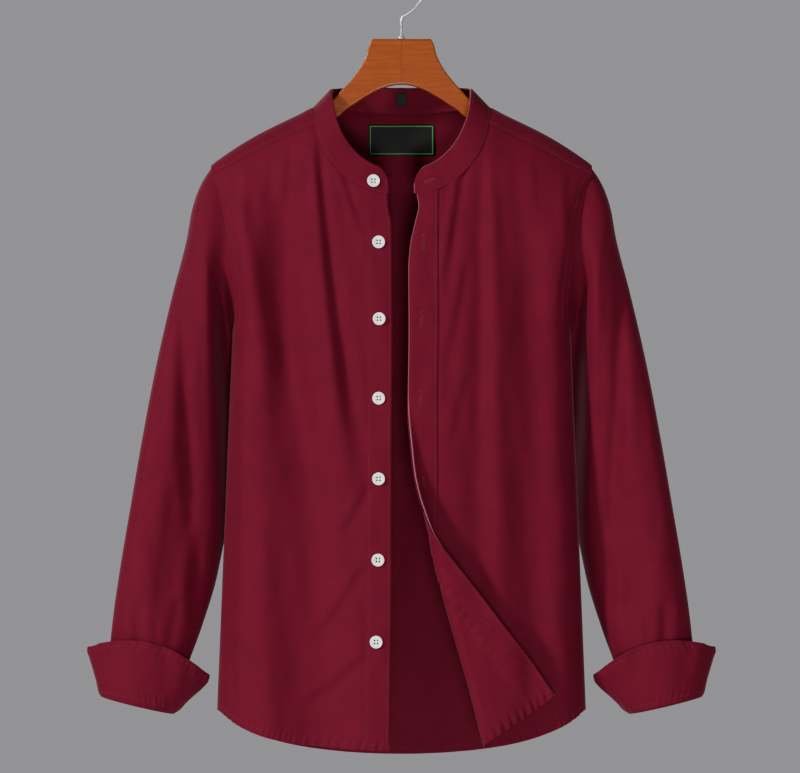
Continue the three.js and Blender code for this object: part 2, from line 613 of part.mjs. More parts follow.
// Collar
const COLLAR_COLUMNS = 36;
const COLLAR_ROWS = 3;
function collarPoint(along, up) {
  const { hand, turn, point } = neckSeam(along);
  const end = Math.max(0, turn / NECK_END_TURN);
  const beforeBack = Math.max(0, Math.cos(Math.min(0, turn)));
  const inward = COLLAR_LEAN.inward * (1 - end ** COLLAR_LEAN.inwardEase) * beforeBack;
  const backward = (turn > 0 ? COLLAR_LEAN.frontBackward : COLLAR_LEAN.backForward) * Math.sin(turn);
  const lean = vector(-hand * inward, backward, Math.sqrt(Math.max(0.1, 1 - inward ** 2 - backward ** 2)));
  const fromEnd = (turn > 0 ? (NECK_END_TURN - turn) / NECK_END_TURN : 1) * COLLAR_END_RUN;
  const rounding = Math.max(0, COLLAR_END_RADIUS - fromEnd);
  const height = COLLAR_HEIGHT - COLLAR_END_RADIUS + Math.sqrt(COLLAR_END_RADIUS ** 2 - rounding ** 2);
  return point.clone().addScaledVector(lean, lerp(COLLAR_LIFT, height, up));
}
// Closer columns towards the rounded ends.
const COLLAR_CROWDING = 0.75;
const collarShare = (u) => u - (COLLAR_CROWDING * Math.sin(2 * Math.PI * u)) / (2 * Math.PI);
const collar = () => wall(patch(COLLAR_COLUMNS, COLLAR_ROWS, (u, v) => collarPoint(collarShare(u), v)), BAND);

// Sleeves and cuffs
const SLEEVE_COLUMNS = 22;
const SLEEVE_ROWS = 17;
function armholeRing(turn) {
  const top = ARMHOLE[0].z;
  const z = (top + UNDERARM_Z) / 2 + ((top - UNDERARM_Z) / 2) * Math.cos(turn);
  const side = Math.sin(turn) >= 0 ? "front" : "back";
  const point = onTorso(side, read(ARMHOLE, "z", side, z), z);
  const up = Math.cos(turn);
  return point.add(vector(lerp(CAP.sides, CAP.top, up > 0 ? Math.sqrt(up) : up * up), 0, 0));
}
function sleevePoint(along, turn) {
  const get = (key) => read(SLEEVE, "at", key, along);
  const [outX, outZ, inX, inZ, inY] = ["outX", "outZ", "inX", "inZ", "inY"].map(get);
  const across = (1 + Math.cos(turn)) / 2;
  const depth = get(Math.sin(turn) >= 0 ? "front" : "back");
  const y = lerp(inY, 0, across) - depth * Math.sin(turn);
  const section = vector(lerp(inX, outX, across), y, lerp(inZ, outZ, across));
  const front = Math.max(0, Math.sin(turn));
  section.y -= foldRise(SLEEVE_FOLDS, section.x, section.z) * front ** 0.5;
  return armholeRing(turn).lerp(section, smoothstep(along, 0, CAP.blend));
}
const sleeve = (hand) => {
  const made = patch(SLEEVE_COLUMNS, SLEEVE_ROWS, (u, v) => sleevePoint(v, u * 2 * Math.PI), true);
  made.points.forEach((point) => point.setX(point.x * hand));
  return wall(hand > 0 ? made : reversed(made), CLOTH);
};

const CUFF_COLUMNS = 20;
const CUFF_RISE_ROWS = 3;
function cuffPoint(u, row) {
  const rise = Math.max(0, row - CUFF_TURN.length + 1) / CUFF_RISE_ROWS;
  const opening = lerp(CUFF.foldOpening, CUFF.rimOpening, rise);
  const turn = QUARTER + CUFF.openingTurn * rise + (u - 0.5) * 2 * (Math.PI - opening);
  const [cos, sin] = [Math.cos(turn), Math.sin(turn)];
  const bend = CUFF_TURN[Math.min(row, CUFF_TURN.length - 1)];
  const half = lerp(CUFF.foldHalf + bend.out, CUFF.rimHalf, rise);
  const depth = lerp(CUFF.foldDepth + bend.out, CUFF.rimDepth, rise);
  const up = bend.up * (1 - rise) + (sin > 0 ? CUFF.rimArch : CUFF.rimArchBehind) * rise * sin * sin;
  const [tiltCos, tiltSin] = [Math.cos(CUFF.tilt), Math.sin(CUFF.tilt)];
  const x = lerp(CUFF.foldX, CUFF.rimX, rise) + half * cos * tiltCos - up * tiltSin;
  const z = lerp(CUFF.foldZ, CUFF.rimZ, rise) + half * cos * tiltSin + up * tiltCos;
  return vector(x, -depth * sin, z);
}
const cuff = (hand) => {
  const rows = CUFF_TURN.length - 1 + CUFF_RISE_ROWS;
  const made = patch(CUFF_COLUMNS, rows, (u, v) => cuffPoint(u, Math.round(v * rows)));
  made.points.forEach((point) => point.setX(point.x * hand));
  return wall(hand > 0 ? reversed(made) : made, CUFF_CLOTH);
};

// Buttons and labels
const BUTTON_SIDES = 18;
function button() {
  const { radius, thickness, rim, dish } = BUTTON;
  const profile = [[0, 0], [radius - 1, 0], [radius, 0.9], [radius, thickness - 0.8], [radius - 0.6, thickness],
    [radius - rim, thickness], [radius - rim - 0.8, thickness - dish], [0, thickness - dish]];
  const geometry = new THREE.LatheGeometry(profile.map(([x, y]) => new THREE.Vector2(x, y)), BUTTON_SIDES);
  return geometry.rotateX(Math.PI);
}
// Sets a button on the cloth at a place, given the surface there by two measures along it.
function placeButton(mesh, pointAt, a, b, step, lift) {
  const across = pointAt(a + step, b).sub(pointAt(a - step, b));
  const down = pointAt(a, b - step).sub(pointAt(a, b + step));
  const outwards = down.cross(across).normalize();
  mesh.quaternion.setFromUnitVectors(vector(0, -1, 0), outwards);
  mesh.position.copy(pointAt(a, b)).addScaledVector(outwards, lift);
}
const LABEL_CLOTH = 0.7;
function neckLabel() {
  const { x, z, width, height } = NECK_LABEL;
  const before = vector(0, -(CLOTH + LABEL_CLOTH) / 2 - 2 * SEAM_GAP, 0);
  return wall(patch(8, 2, (u, v) =>
    onTorso("back", x + lerp(-0.5, 0.5, u) * width, z + lerp(0.5, -0.5, v) * height).add(before)), LABEL_CLOTH);
}
function sizeLabel() {
  const { halfShare, from, to } = SIZE_LABEL;
  const before = vector(0, -(BAND + LABEL_CLOTH) / 2 - 2 * SEAM_GAP, 0);
  return wall(patch(2, 2, (u, v) =>
    collarPoint(lerp(0.5 - halfShare, 0.5 + halfShare, u), lerp(to, from, v)).add(before)), LABEL_CLOTH);
}

// Hanger
function hangerArms() {
  const armTop = (x) =>
    shoulderZ(x) - lerp(UNDER_CLOTH.nearNeck, UNDER_CLOTH.outwards, smoothstep(x, UNDER_CLOTH.from, UNDER_CLOTH.to));
  const half = [
    ...HANGER_NECK,
    ...HANGER_ARM.map(({ x }) => ({ x, z: armTop(x) })),
    ...HANGER_TIP.map(({ x, down }) => ({ x, z: armTop(HANGER_TIP[0].x) - down })),
    ...[...HANGER_ARM].reverse().map(({ x, deep }) => ({ x, z: armTop(x) - deep })),
    ...HANGER_UNDER,
  ];
  const outline = [...half, ...half.map(({ x, z }) => ({ x: -x, z })).reverse()];
  const shape = new THREE.Shape(outline.map(({ x, z }) => new THREE.Vector2(x, z)));
  const geometry = new THREE.ExtrudeGeometry(shape, {
    depth: ARM_THICKNESS - 2 * ARM_EDGE, bevelThickness: ARM_EDGE, bevelSize: ARM_EDGE, bevelOffset: -ARM_EDGE,
    bevelSegments: 2, steps: 1,
  });
  return geometry.translate(0, 0, -(ARM_THICKNESS - 2 * ARM_EDGE) / 2).rotateX(QUARTER);
}
const HOOK_STEPS = 48;
function hangerHook() {
  const centreZ = HOOK_WIRE - HOOK_RADIUS;
  const bend = Array.from({ length: HOOK_BEND.steps + 1 }, (_, step) => {
    const turn = degToRad(lerp(HOOK_BEND.fromDegrees, HOOK_BEND.toDegrees, step / HOOK_BEND.steps));
    return vector(HOOK_RADIUS * Math.sin(turn), 0, centreZ + HOOK_RADIUS * Math.cos(turn));
  });
  const stem = HOOK_STEM.map(({ x, z }) => vector(x, 0, z));
  const path = new THREE.CatmullRomCurve3([...stem, ...bend], false, "centripetal");
  const section = new THREE.Shape().absarc(0, 0, HOOK_WIRE, 0, 2 * Math.PI);
  return new THREE.ExtrudeGeometry(section, { steps: HOOK_STEPS, extrudePath: path, bevelEnabled: false, curveSegments: 5 });
}
const FERRULE = { inner: HOOK_WIRE + SEAM_GAP, outer: 4.2, height: 3.4 };
function hookFerrule() {
  const { inner, outer, height } = FERRULE;
  const profile = [[inner, 0], [outer, 0], [outer, height * 0.5], [outer - 1, height], [inner, height], [inner, 0]];
  const geometry = new THREE.LatheGeometry(profile.map(([x, y]) => new THREE.Vector2(x, y)), 16);
  return geometry.rotateX(QUARTER).translate(0, 0, WOOD_TOP_Z + SEAM_GAP);
}

// The whole garment
const shirt = new THREE.Group();
function add(name, geometry, finish) {
  const mesh = new THREE.Mesh(geometry, new THREE.MeshStandardMaterial(finish));
  mesh.name = name;
  shirt.add(mesh);
  return mesh;
}
for (const [name, geometry] of Object.entries(fronts())) add(name, geometry, DYED_COTTON);
add("back", backPanel(), DYED_COTTON);
add("yoke", yoke(), DYED_COTTON);
add("collar", collar(), DYED_COTTON);
add("sleeve_button_side", sleeve(-1), DYED_COTTON);
add("sleeve_buttonhole_side", sleeve(1), DYED_COTTON);
add("cuff_button_side", cuff(-1), DYED_COTTON);
add("cuff_buttonhole_side", cuff(1), DYED_COTTON);
for (const { name, x, z } of BUTTONS) {
  const surface = (atX, atZ) => onTorso("front", atX, atZ, BUTTON_SIDE_FOLDS);
  placeButton(add(name, button(), WHITE_RESIN), surface, x, z, BUTTON.radius, BUTTON_ON_BAND);
}
const fromOutside = (along, up) => collarPoint(-along, up);
placeButton(add("button_1", button(), WHITE_RESIN), fromOutside, -COLLAR_BUTTON.along, COLLAR_BUTTON.up, 0.02,
  BUTTON_ON_COLLAR);
add("neck_label", neckLabel(), LABEL_SATIN);
add("size_label", sizeLabel(), LABEL_SATIN);
add("hanger_arms", hangerArms(), VARNISHED_BEECH);
add("hanger_hook", hangerHook(), CHROMED_STEEL);
add("hook_ferrule", hookFerrule(), CHROMED_STEEL);

export default shirt;
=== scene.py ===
import math

import bmesh
import bpy
import numpy as np
from mathutils import Matrix, Vector


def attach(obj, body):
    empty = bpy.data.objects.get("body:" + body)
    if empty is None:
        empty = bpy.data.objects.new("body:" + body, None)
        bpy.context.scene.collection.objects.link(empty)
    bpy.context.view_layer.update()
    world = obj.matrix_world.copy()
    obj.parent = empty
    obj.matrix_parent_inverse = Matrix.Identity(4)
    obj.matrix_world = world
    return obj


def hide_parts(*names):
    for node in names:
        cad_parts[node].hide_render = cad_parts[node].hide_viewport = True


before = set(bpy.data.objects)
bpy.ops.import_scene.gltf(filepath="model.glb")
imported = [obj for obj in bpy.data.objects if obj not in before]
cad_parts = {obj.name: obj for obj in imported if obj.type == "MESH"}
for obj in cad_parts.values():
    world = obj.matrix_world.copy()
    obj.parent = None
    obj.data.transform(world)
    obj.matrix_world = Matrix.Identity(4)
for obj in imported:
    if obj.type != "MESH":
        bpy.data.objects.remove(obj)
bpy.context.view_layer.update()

# A cotton shirt with a mandarin collar, hanging open on a varnished wooden hanger.
# Shapes are worked out in millimetres, in the frame's axes, and laid down in metres.
# Every cloth piece is cut flat, laid on the garment's surface and given the cloth's thickness.
# Tables hold the left half as seen from the front, with x counted outwards, unless they say otherwise.
MM = 0.001
QUARTER = math.pi / 2
FAR = 99.0
SIDES = ((-1, "button_side"), (1, "buttonhole_side"))

# Cloth and sewing
CLOTH = 0.9
FOLDED_CLOTH = 1.3
BUTTON_BAND = 29.0
COLLAR_HEIGHT = 31.0
COLLAR_LENGTH = 500.0
COLLAR_FRONT_LENGTH = 150.0
COLLAR_END_RADIUS = 23.0
STITCH_LENGTH = 2.9
STITCH_GAP = 0.8
STITCH_PITCH = STITCH_LENGTH + STITCH_GAP
STITCH_WIDTH = 0.5
THREAD_LIFT = 0.1
HEM_DEPTH = 8.0
HEM_STITCH = HEM_DEPTH - 1.0
ARMHOLE_STITCH = 7.0
BAND_EDGE_STITCH = 3.2
BAND_SEAM_STITCH = 3.0
COLLAR_STITCH = 3.4
COLLAR_SEAM_STITCH = 2.6
CUFF_STITCH = 6.0
CUFF_FOLD_STITCH = 5.0
SEAM_DIP = 5.0

# How far each layer stands off the surface that it is laid on
BAND_LIFT = CLOTH + THREAD_LIFT
COLLAR_LIFT = 0.6
YOKE_LIFT = 0.85
FACING_STEP = 0.9

# Turned edges roll back from the face, and a painted highlight, paler than the dye, runs along their
# outermost fibres where they catch the light
EDGE_ROLL = 1.2
EDGE_ROLL_WIDTH = 1.6
EDGE_HIGHLIGHT_WIDTH = 0.65

# Heights of the garment's landmarks
NECK_POINT_Z = -172.0
YOKE_SEAM_Z = -248.0
UNDERARM_Z = -430.0
HEM_Z = -908.0
SIDE_HEM_RISE = 47.0
BACK_HEM_DROP = (10.0, 3.0)
TURNED_CORNER_RISE = 16.0

# Shoulder, neck and armhole
NECK_HALF = 101.0
NECK_CENTRE_X = 10.0
NECK_DROP = 101.0
BACK_NECK_DEPTH = 43.0
YOKE_NECK_ANGLE = 0.19
YOKE_FRONT_PART = 0.2
NECK_END_TURN = 1.52
FRONT_SHARE = 0.29
SHOULDER_X = 218.0
UNDERARM_X = 194.0
HEM_HALF = 211.5
ARMHOLE_REACH = {"front": 38.0, "back": 34.0}
ARMHOLE_TOP_EASE = 22.0
ROUNDNESS = 2.6
FRONT_ROLL = 110.0
BACK_ROLL_CENTRE = 30.0
BACK_ROLL_SHOULDER = 110.0
BELOW_ROLL = 50.0

# The line that the front's lower corner is turned out along
FOLD_TOP = (8.6, -541.0)
FOLD_BOTTOM = (93.0, -907.0)
FOLD_LIFT = 0.03

# Sleeves and cuffs as cut, in width and length
SLEEVE_LENGTH = 640.0
SLEEVE_TOP_WIDTH = 440.0
SLEEVE_WRIST_WIDTH = 225.0
SLEEVE_TOP_RADIUS = 66.0
CUFF_HEIGHT = 66.0
CUFF_WIDTH = 250.0
CUFF_EDGE_RUN = 270.0
CUFF_FOLD_SHARE = 0.22

# Columns and rows of the grids that the cut pieces are laid down with
BAND_COLUMNS, NECK_COLUMNS, YOKE_COLUMNS, ARMHOLE_COLUMNS = 16, 38, 34, 60
BODY_COLUMNS = NECK_COLUMNS + YOKE_COLUMNS + ARMHOLE_COLUMNS
FRONT_ROWS = 230
ROWS_CROWD = 1.2
BACK_SEAM_SHARE = 5 / 11
GRIDS = {
    "front": (BAND_COLUMNS + BODY_COLUMNS, FRONT_ROWS), "band": (26, 3 * FRONT_ROWS // 2), "back": (132, 186),
    "yoke": (150, 40), "collar": (190, 26), "sleeve": (120, 175), "cuff": (180, 44), "label": (50, 24),
    "tab": (10, 12),
}


def table(columns, *rows):
    """Rows of values under named columns."""
    return [dict(zip(columns.split(), row)) for row in rows]


# How the turned corner rolls, by the distance down its fold
CURL = table(
    "down radius bow",
    (-70, 6, -3), (0, 10, 0), (18, 11.5, 1.5), (38, 14, 3.8), (58, 17, 5), (77, 19, 4.8), (97, 20, 4.1),
    (118, 18.5, 4.4), (142, 15, 5.4), (186, 12.7, 5.4), (245, 11.4, 2.9), (307, 10.4, -0.3), (379, 8, -1.6),
)
# Half of the shoulder line, and how deep the body is at each height
SHOULDER_LINE = table(
    "x z",
    (0, -160), (50, -163), (100, NECK_POINT_Z), (117, -180.3), (164, -203.4), (195, -222.2), (219, -240),
    (240, -262),
)
DEPTH = table(
    "z front back",
    (-150, 49, 48), (-250, 51, 48), (-340, 56, 49), (UNDERARM_Z, 60, 52), (-650, 62, 54), (-920, 64, 55),
)
# Seams and edges of the body pieces
YOKE_FRONT_SEAM = table(
    "x z",
    (98.5, -190.3), (117, -199), (151, -214.5), (181.5, -230), (203, -242), (SHOULDER_X - 0.5, -248),
)
ARMHOLE = table(
    "z front back",
    (-239, 218, 218), (-248, 217.5, 217), (-266, 211, 212), (-306, 202, 206), (-341, 196.5, 201),
    (-364, 194, 198), (-400, 190.5, 193), (-420, 191.5, 192.5), (UNDERARM_Z, UNDERARM_X, UNDERARM_X),
)
BUTTON_EDGE = table(
    "z x",
    (-268, -14.6), (-274, -15.8), (-288, -15.2), (-297, -13.2), (-306, -11.6), (-345, -11), (-430, -10.6),
    (-560, -11.4), (-700, -11.5), (-830, -12.8), (-915, -14),
)
BUTTONHOLE_EDGE = table(
    "z x band",
    (-262, 14.6, 27), (-272, 17.3, 24.3), (-286, 19.5, 22), (-303, 16, 25.5), (-331, 10, 31.5),
    (-358, 8, 33.5), (-430, 8.4, 33.1), (-500, 7.5, 33), (-590, 9, 32), (-664, 7, 32), (-726, -1.3, 32),
    (-755, -6, 32), (-803, -10, 32), (-893, -17.6, 32),
)

# Creases of hanging cloth: start and end, width at each end, bow, and how steeply the cloth turns.
# Their x is the viewer's, negative on the left. A crease of positive slope falls away to the viewer's right.
CREASE_COLUMNS = "x0 z0 x1 z1 w0 w1 bow slope"
BUTTON_SIDE_FOLDS = table(
    CREASE_COLUMNS,
    (-100, -190, -46, -640, 6, 16, -5, 0.95),
    (-128, -262, -84, -700, 13, 26, 0, -0.42),
    (-188, -250, -122, -560, 13, 22, 0, 0.36),
    (-156, -226, -134, -1150, 27, 34, 0, 0.8),
    (-118, -470, -98, -1300, 26, 36, 0, 0.55),
    (-187, -330, -200, -1250, 13, 15, 0, -0.75),
    (-73, -236, -43, -332, 5, 7, 1, 0.4),
    (-129, -212, -136, -300, 4, 7, 0, 0.34),
    (-150, -222, -158, -296, 5, 8, 0, 0.26),
    (-184, -240, -188, -330, 7, 9, 0, -0.4),
    (-41, -604, -76, -668, 6, 9, 3, 0.34),
    (-43, -690, -104, -786, 7, 11, 3, 0.36),
    (-43, -796, -120, -862, 8, 11, 3, 0.24),
)
BUTTONHOLE_SIDE_FOLDS = table(
    CREASE_COLUMNS,
    (97, -190, 100, -860, 8, 24, 0, -0.66),
    (124, -206, 136, -460, 8, 14, 0, 0.1),
    (158, -236, 176, -1150, 24, 30, 0, -0.46),
    (72, -206, 43, -400, 6, 8, 1, 0.62),
    (74, -340, 46, -486, 6, 9, 1, 0.3),
    (74, -470, 50, -580, 8, 10, 0, 0.26),
    (150, -232, 156, -300, 4, 7, 0, 0.26),
    (188, -240, 189, -330, 6, 8, 0, 0.3),
    (112, -600, 118, -900, 16, 22, 2, -0.1),
)
BACK_FOLDS = table(
    CREASE_COLUMNS,
    (-120, -262, -96, -860, 12, 28, 6, 0.42),
    (-88, -256, -80, -520, 8, 16, 3, -0.3),
    (-58, -262, -46, -880, 13, 30, 4, 0.36),
    (-30, -256, -22, -600, 8, 16, 2, -0.32),
    (10, -262, 4, -880, 13, 32, 4, 0.4),
    (34, -256, 30, -640, 8, 16, -2, -0.3),
    (66, -262, 58, -880, 13, 28, -4, 0.36),
    (92, -258, 80, -500, 8, 14, -3, 0.34),
    (118, -262, 104, -850, 12, 26, -6, -0.4),
    (-168, -300, -160, -820, 14, 24, 4, 0.3),
    (166, -300, 158, -820, 14, 24, -4, -0.3),
)
# Folds of the sleeves: start and end, half width at each end, bow and rise
SLEEVE_FOLDS = table(
    "x0 z0 x1 z1 w0 w1 bow rise",
    (212, -244, 194, -720, 14, 12, -3, -29),
    (219, -262, 208, -720, 10, 12, 2, 9),
    (254, -330, 230, -860, 9, 12, 2, -8),
    (262, -262, 268, -420, 13, 16, 2, 3),
    (284, -420, 300, -640, 12, 18, 0, 3),
    (262, -600, 272, -780, 15, 17, -4, -5),
    (236, -640, 254, -780, 8, 10, 2, 3),
    (254, -730, 270, -806, 8, 8, 0, -3.4),
    (294, -660, 298, -800, 13, 13, 2, 3),
    (301, -735, 300, -806, 6, 7, 0, -2.4),
    (318, -740, 312, -806, 6, 6, 0, 1.6),
    (281, -755, 280, -806, 5, 5, 0, -1.6),
    (242, -745, 250, -806, 4, 5, 0, 1.5),
)
# Slow unevenness of hanging cloth: waves across and down, phase and height
UNEVENNESS = table(
    "across down phase rise",
    (47, 310, 0.4, 0.34), (71, 520, 2.1, 0.42), (29, 170, 4.0, 0.16), (113, 240, 1.3, 0.4),
    (19, 95, 5.2, 0.07), (-38, 205, 3.1, 0.22), (-24, 88, 0.9, 0.08),
)
# Creases of the band's inner layer: distance in from its seam, height, slant, width, reach across and rise
FACING_CREASES = table(
    "inset z slant width reach rise",
    (14, -660, 1.1, 3.2, 11, 0.9), (10, -684, 0.7, 2.8, 9, -0.9), (17, -703, 1.5, 3.6, 12, 1.1),
    (9, -731, 0.5, 2.6, 8, 0.8), (19, -752, 1.2, 3.0, 9, -1.0), (12, -775, 1.7, 3.4, 12, 1.0),
    (22, -800, 0.6, 2.8, 8, 0.8), (13, -826, 1.3, 3.6, 13, -1.0), (20, -851, 1.0, 2.8, 9, 0.9),
    (11, -878, 0.6, 3.0, 10, 0.8),
)
# Sections of a sleeve from the armhole to the cuff: its outer and inner edge, and its depth before and behind
SLEEVE = table(
    "at outX outZ inX inZ inY front back",
    (0.0, 219, -241, 195.5, -431, 0, 38, 34),
    (0.08, 236, -268, 193.6, -434, 9, 41, 38),
    (0.17, 247, -325, 192.8, -441, 18, 43, 40),
    (0.27, 263, -387, 193, -458, 27, 44, 41),
    (0.38, 281, -465, 194, -497, 34, 44, 41),
    (0.52, 297, -548, 197.5, -560, 37, 43, 41),
    (0.66, 311.5, -632, 201, -636, 36, 42, 40),
    (0.78, 323, -700, 212.5, -708, 27, 40, 39),
    (0.88, 331, -755, 230, -768, 10, 37, 36),
    (0.95, 335.5, -797, 246, -812, 2, 33, 33),
    (1.0, 339.9, -842.6, 263.7, -860.9, 0, 30.6, 30.6),
)
# A cuff: the ring at its fold, the ring at its open edge, how they lean and how far they stand open
CUFF = dict(
    foldX=303.5, foldZ=-857.5, foldHalf=39.4, foldDepth=31.0,
    rimX=290.4, rimZ=-808.0, rimHalf=75.0, rimDepth=39.0, rimArch=23.0, rimArchBehind=5.0,
    tilt=0.235, foldOpening=0.1, rimOpening=0.85, openingTurn=-0.5,
)
CUFF_TURN = table("row out up", (0, -0.2, 5.2), (1, 0.6, 1.0), (2, 3.2, -0.6), (3, 5.6, 1.8))

# Buttons and buttonholes; a profile is a list of radii and heights
BUTTON_RADIUS = 7.15
BUTTON_THICKNESS = 2.6
BUTTON_PROFILE = (
    (0.0, 0.0), (5.6, 0.0), (6.6, 0.3), (7.05, 1.0), (BUTTON_RADIUS, 1.6), (6.9, 2.25),
    (6.3, BUTTON_THICKNESS), (5.7, 2.45), (5.2, 1.9), (4.6, 1.62), (0.0, 1.55),
)
HOLE_OFF = 1.7
HOLE_RADIUS = 1.22
BUTTON_THREAD_HEIGHT = 1.6
BUTTON_THREAD = dict(length=1.3, width=0.4)
BUTTON_PLACES = table(
    "name x z",
    ("button_2", -26, -327.5), ("button_3", -25.3, -415), ("button_4", -25.5, -505.5),
    ("button_5", -26, -597.5), ("button_6", -26.8, -690), ("button_7", -28.5, -783.5),
)
COLLAR_BUTTON = dict(along=0.043, up=0.4)
BUTTONHOLE_HEIGHTS = [place["z"] for place in BUTTON_PLACES]
BUTTONHOLE_INSET = 14.5
BUTTONHOLE_LENGTH = 17.0
BUTTONHOLE_HALF_GAP = 0.95
BUTTONHOLE_BAR = 1.7
HOLE_SIDE_STITCH = dict(pitch=0.55, length=1.5, width=0.5)
HOLE_BAR_STITCH = dict(pitch=0.6, length=1.6, width=0.55)
COLLAR_HOLE = dict(along=22.0, up=13.0, length=14.0)

# Labels
NECK_LABEL = dict(x=0.0, z=-207.0, width=75.4, height=35.2)
LABEL_BORDER = 1.7
LABEL_BORDER_HALF = 0.55
LABEL_STITCH_INSET = 0.7
SIZE_TAB = dict(halfShare=0.0093, low=0.33, high=0.79, width=10.6, height=14.3)

# Hanger: the hook's wire rises from the wood and bends round, and a ferrule closes it below
ARM_THICKNESS = 12.0
ARM_EDGE = 2.2
HOOK_WIRE = 1.75
HOOK_RADIUS = 30.0
HOOK_BEND = (125, 105, 80, 55, 30, 0, -30, -60, -85, -102)
WOOD_TOP_Z = -92.6
WOOD_TOP_HALF = 33.6
WOOD_NECK_X = 102.0
FERRULE_FOOT_Z = WOOD_TOP_Z + 0.3
HOOK_STEM = ((0, FERRULE_FOOT_Z), (0, -82), (0, -72), (2.2, -66.6), (8, -62.4), (14.5, -57.6), (20.2, -51.6))
FERRULE_PROFILE = (
    (HOOK_WIRE + 0.1, 0.0), (4.2, 0.0), (4.3, 0.5), (4.2, 1.6), (3.8, 2.5), (2.8, 3.2),
    (HOOK_WIRE + 0.1, 3.4),
)

# Camera and studio: the lights in metres, the rest in millimetres
PICTURE_WIDTH = 920.0
SENSOR_WIDTH = 36.0
CAMERA_PLACE = (-1.7, -7000.0, -492.2)
FLOOR_Z = -1900.0
FLOOR_HALF = 2500.0
LIGHTS = table(
    "name place aim size power",
    ("key light", (-4.5, -3.3, 1.9), (0.05, 0, -0.45), 0.8, 450.0),
    ("right fill light", (2.6, -3.8, 1.6), (0, 0, -0.45), 1.2, 16.0),
    ("low fill light", (0.2, -3.6, -1.3), (0, 0, -0.7), 0.8, 88.0),
    ("rim light", (-1.6, 2.4, 0.9), (0, 0, -0.4), 1.2, 26.0),
)


# Reading tables and measuring
def read(rows, by, key, place):
    """One column of a table between its rows, on a smooth curve that never overshoots."""
    rows = sorted(rows, key=lambda row: row[by])
    xs = np.array([row[by] for row in rows], float)
    ys = np.array([row[key] for row in rows], float)
    slopes = np.diff(ys) / np.diff(xs)
    before, after = slopes[:-1], slopes[1:]
    together = np.where(before + after == 0, 1.0, before + after)
    inner = np.where(before * after <= 0, 0.0, 2 * before * after / together)
    tangents = np.concatenate([slopes[:1], inner, slopes[-1:]])
    at = np.clip(place, xs[0], xs[-1])
    i = np.clip(np.searchsorted(xs, at) - 1, 0, len(xs) - 2)
    step = xs[i + 1] - xs[i]
    t = (at - xs[i]) / step
    rest = 1 - t
    ends = ys[i] * (1 + 2 * t) * rest * rest + ys[i + 1] * (3 - 2 * t) * t * t
    return ends + step * t * rest * (tangents[i] * rest - tangents[i + 1] * t)


def mix(low, high, share):
    """A value a share of the way from one to another."""
    return low + (high - low) * share


def ease(value, low, high):
    """0 up to the low value and 1 from the high one, smooth between them."""
    t = np.clip((value - low) / (high - low), 0, 1)
    return t * t * (3 - 2 * t)


def points(x, y, z):
    """Coordinates gathered into points."""
    return np.stack(np.broadcast_arrays(x, y, z), axis=-1).astype(float)


def unit(vectors):
    """Vectors brought to length 1."""
    return vectors / np.maximum(np.linalg.norm(vectors, axis=-1, keepdims=True), 1e-9)


def fold_rise(folds, x, z):
    """Rise of rounded ridges and valleys."""
    total = np.zeros(np.broadcast(x, z).shape)
    for fold in folds:
        across, width, fade = from_fold(fold, x, z)
        total += fold["rise"] * np.exp(-across * across) * fade
    return total


def crease_rise(creases, x, z):
    """Rise of creases: a ridge that turns over into a valley beside it."""
    total = np.zeros(np.broadcast(x, z).shape)
    for crease in creases:
        across, width, fade = from_fold(crease, x, z)
        total -= crease["slope"] * width * across * np.exp(-across * across) * fade
    return total


def from_fold(fold, x, z):
    """How many widths a place lies from a fold's line, the width there, and how far the fold has faded in."""
    t = np.clip((fold["z0"] - z) / (fold["z0"] - fold["z1"]), 0, 1)
    middle = mix(fold["x0"], fold["x1"], t) + fold["bow"] * 4 * t * (1 - t)
    slant = math.hypot(1, (fold["x1"] - fold["x0"]) / (fold["z1"] - fold["z0"]))
    width = mix(fold["w0"], fold["w1"], t) * slant
    return (x - middle) / width, width, ease(t, 0, 0.16) * ease(1 - t, 0, 0.4)


def unevenness(x, z):
    """Rise of the slow waves that cloth on a hanger never loses."""
    total = np.zeros(np.broadcast(x, z).shape)
    for wave in UNEVENNESS:
        total += wave["rise"] * np.sin(2 * math.pi * (x / wave["across"] + z / wave["down"]) + wave["phase"])
    return total


# The torso's surface
def shoulder_z(x):
    """Height of the shoulder line at a distance from the middle."""
    return read(SHOULDER_LINE, "x", "z", np.abs(x))


def hem_z(x):
    """Height of the curved hem, lowest in the middle."""
    share = np.minimum(1, np.abs(x) / HEM_HALF)
    return HEM_Z + SIDE_HEM_RISE * (0.47 * share ** 2 + 0.53 * share ** 6)


def edge_x(side, z):
    """The outer edge of a body piece: the armhole, and the side seam below it."""
    return np.where(z > UNDERARM_Z, read(ARMHOLE, "z", side, z), side_x(z))


def side_x(z):
    """The side seam, from the underarm to the hem."""
    return mix(UNDERARM_X, HEM_HALF, (UNDERARM_Z - z) / (UNDERARM_Z - HEM_Z - SIDE_HEM_RISE))


def roll_height(side, x):
    """How far below the shoulder line the roll over the shoulder ends."""
    if side == "front":
        return np.full(np.shape(x), FRONT_ROLL)
    return mix(BACK_ROLL_CENTRE, BACK_ROLL_SHOULDER, ease(np.abs(x), 60, SHOULDER_X))


def rounded(share):
    """The depth of a rounded section, from 1 in its middle to 0 at its edge."""
    return (1 - np.clip(np.abs(share), 0, 1) ** ROUNDNESS) ** (1 / ROUNDNESS)


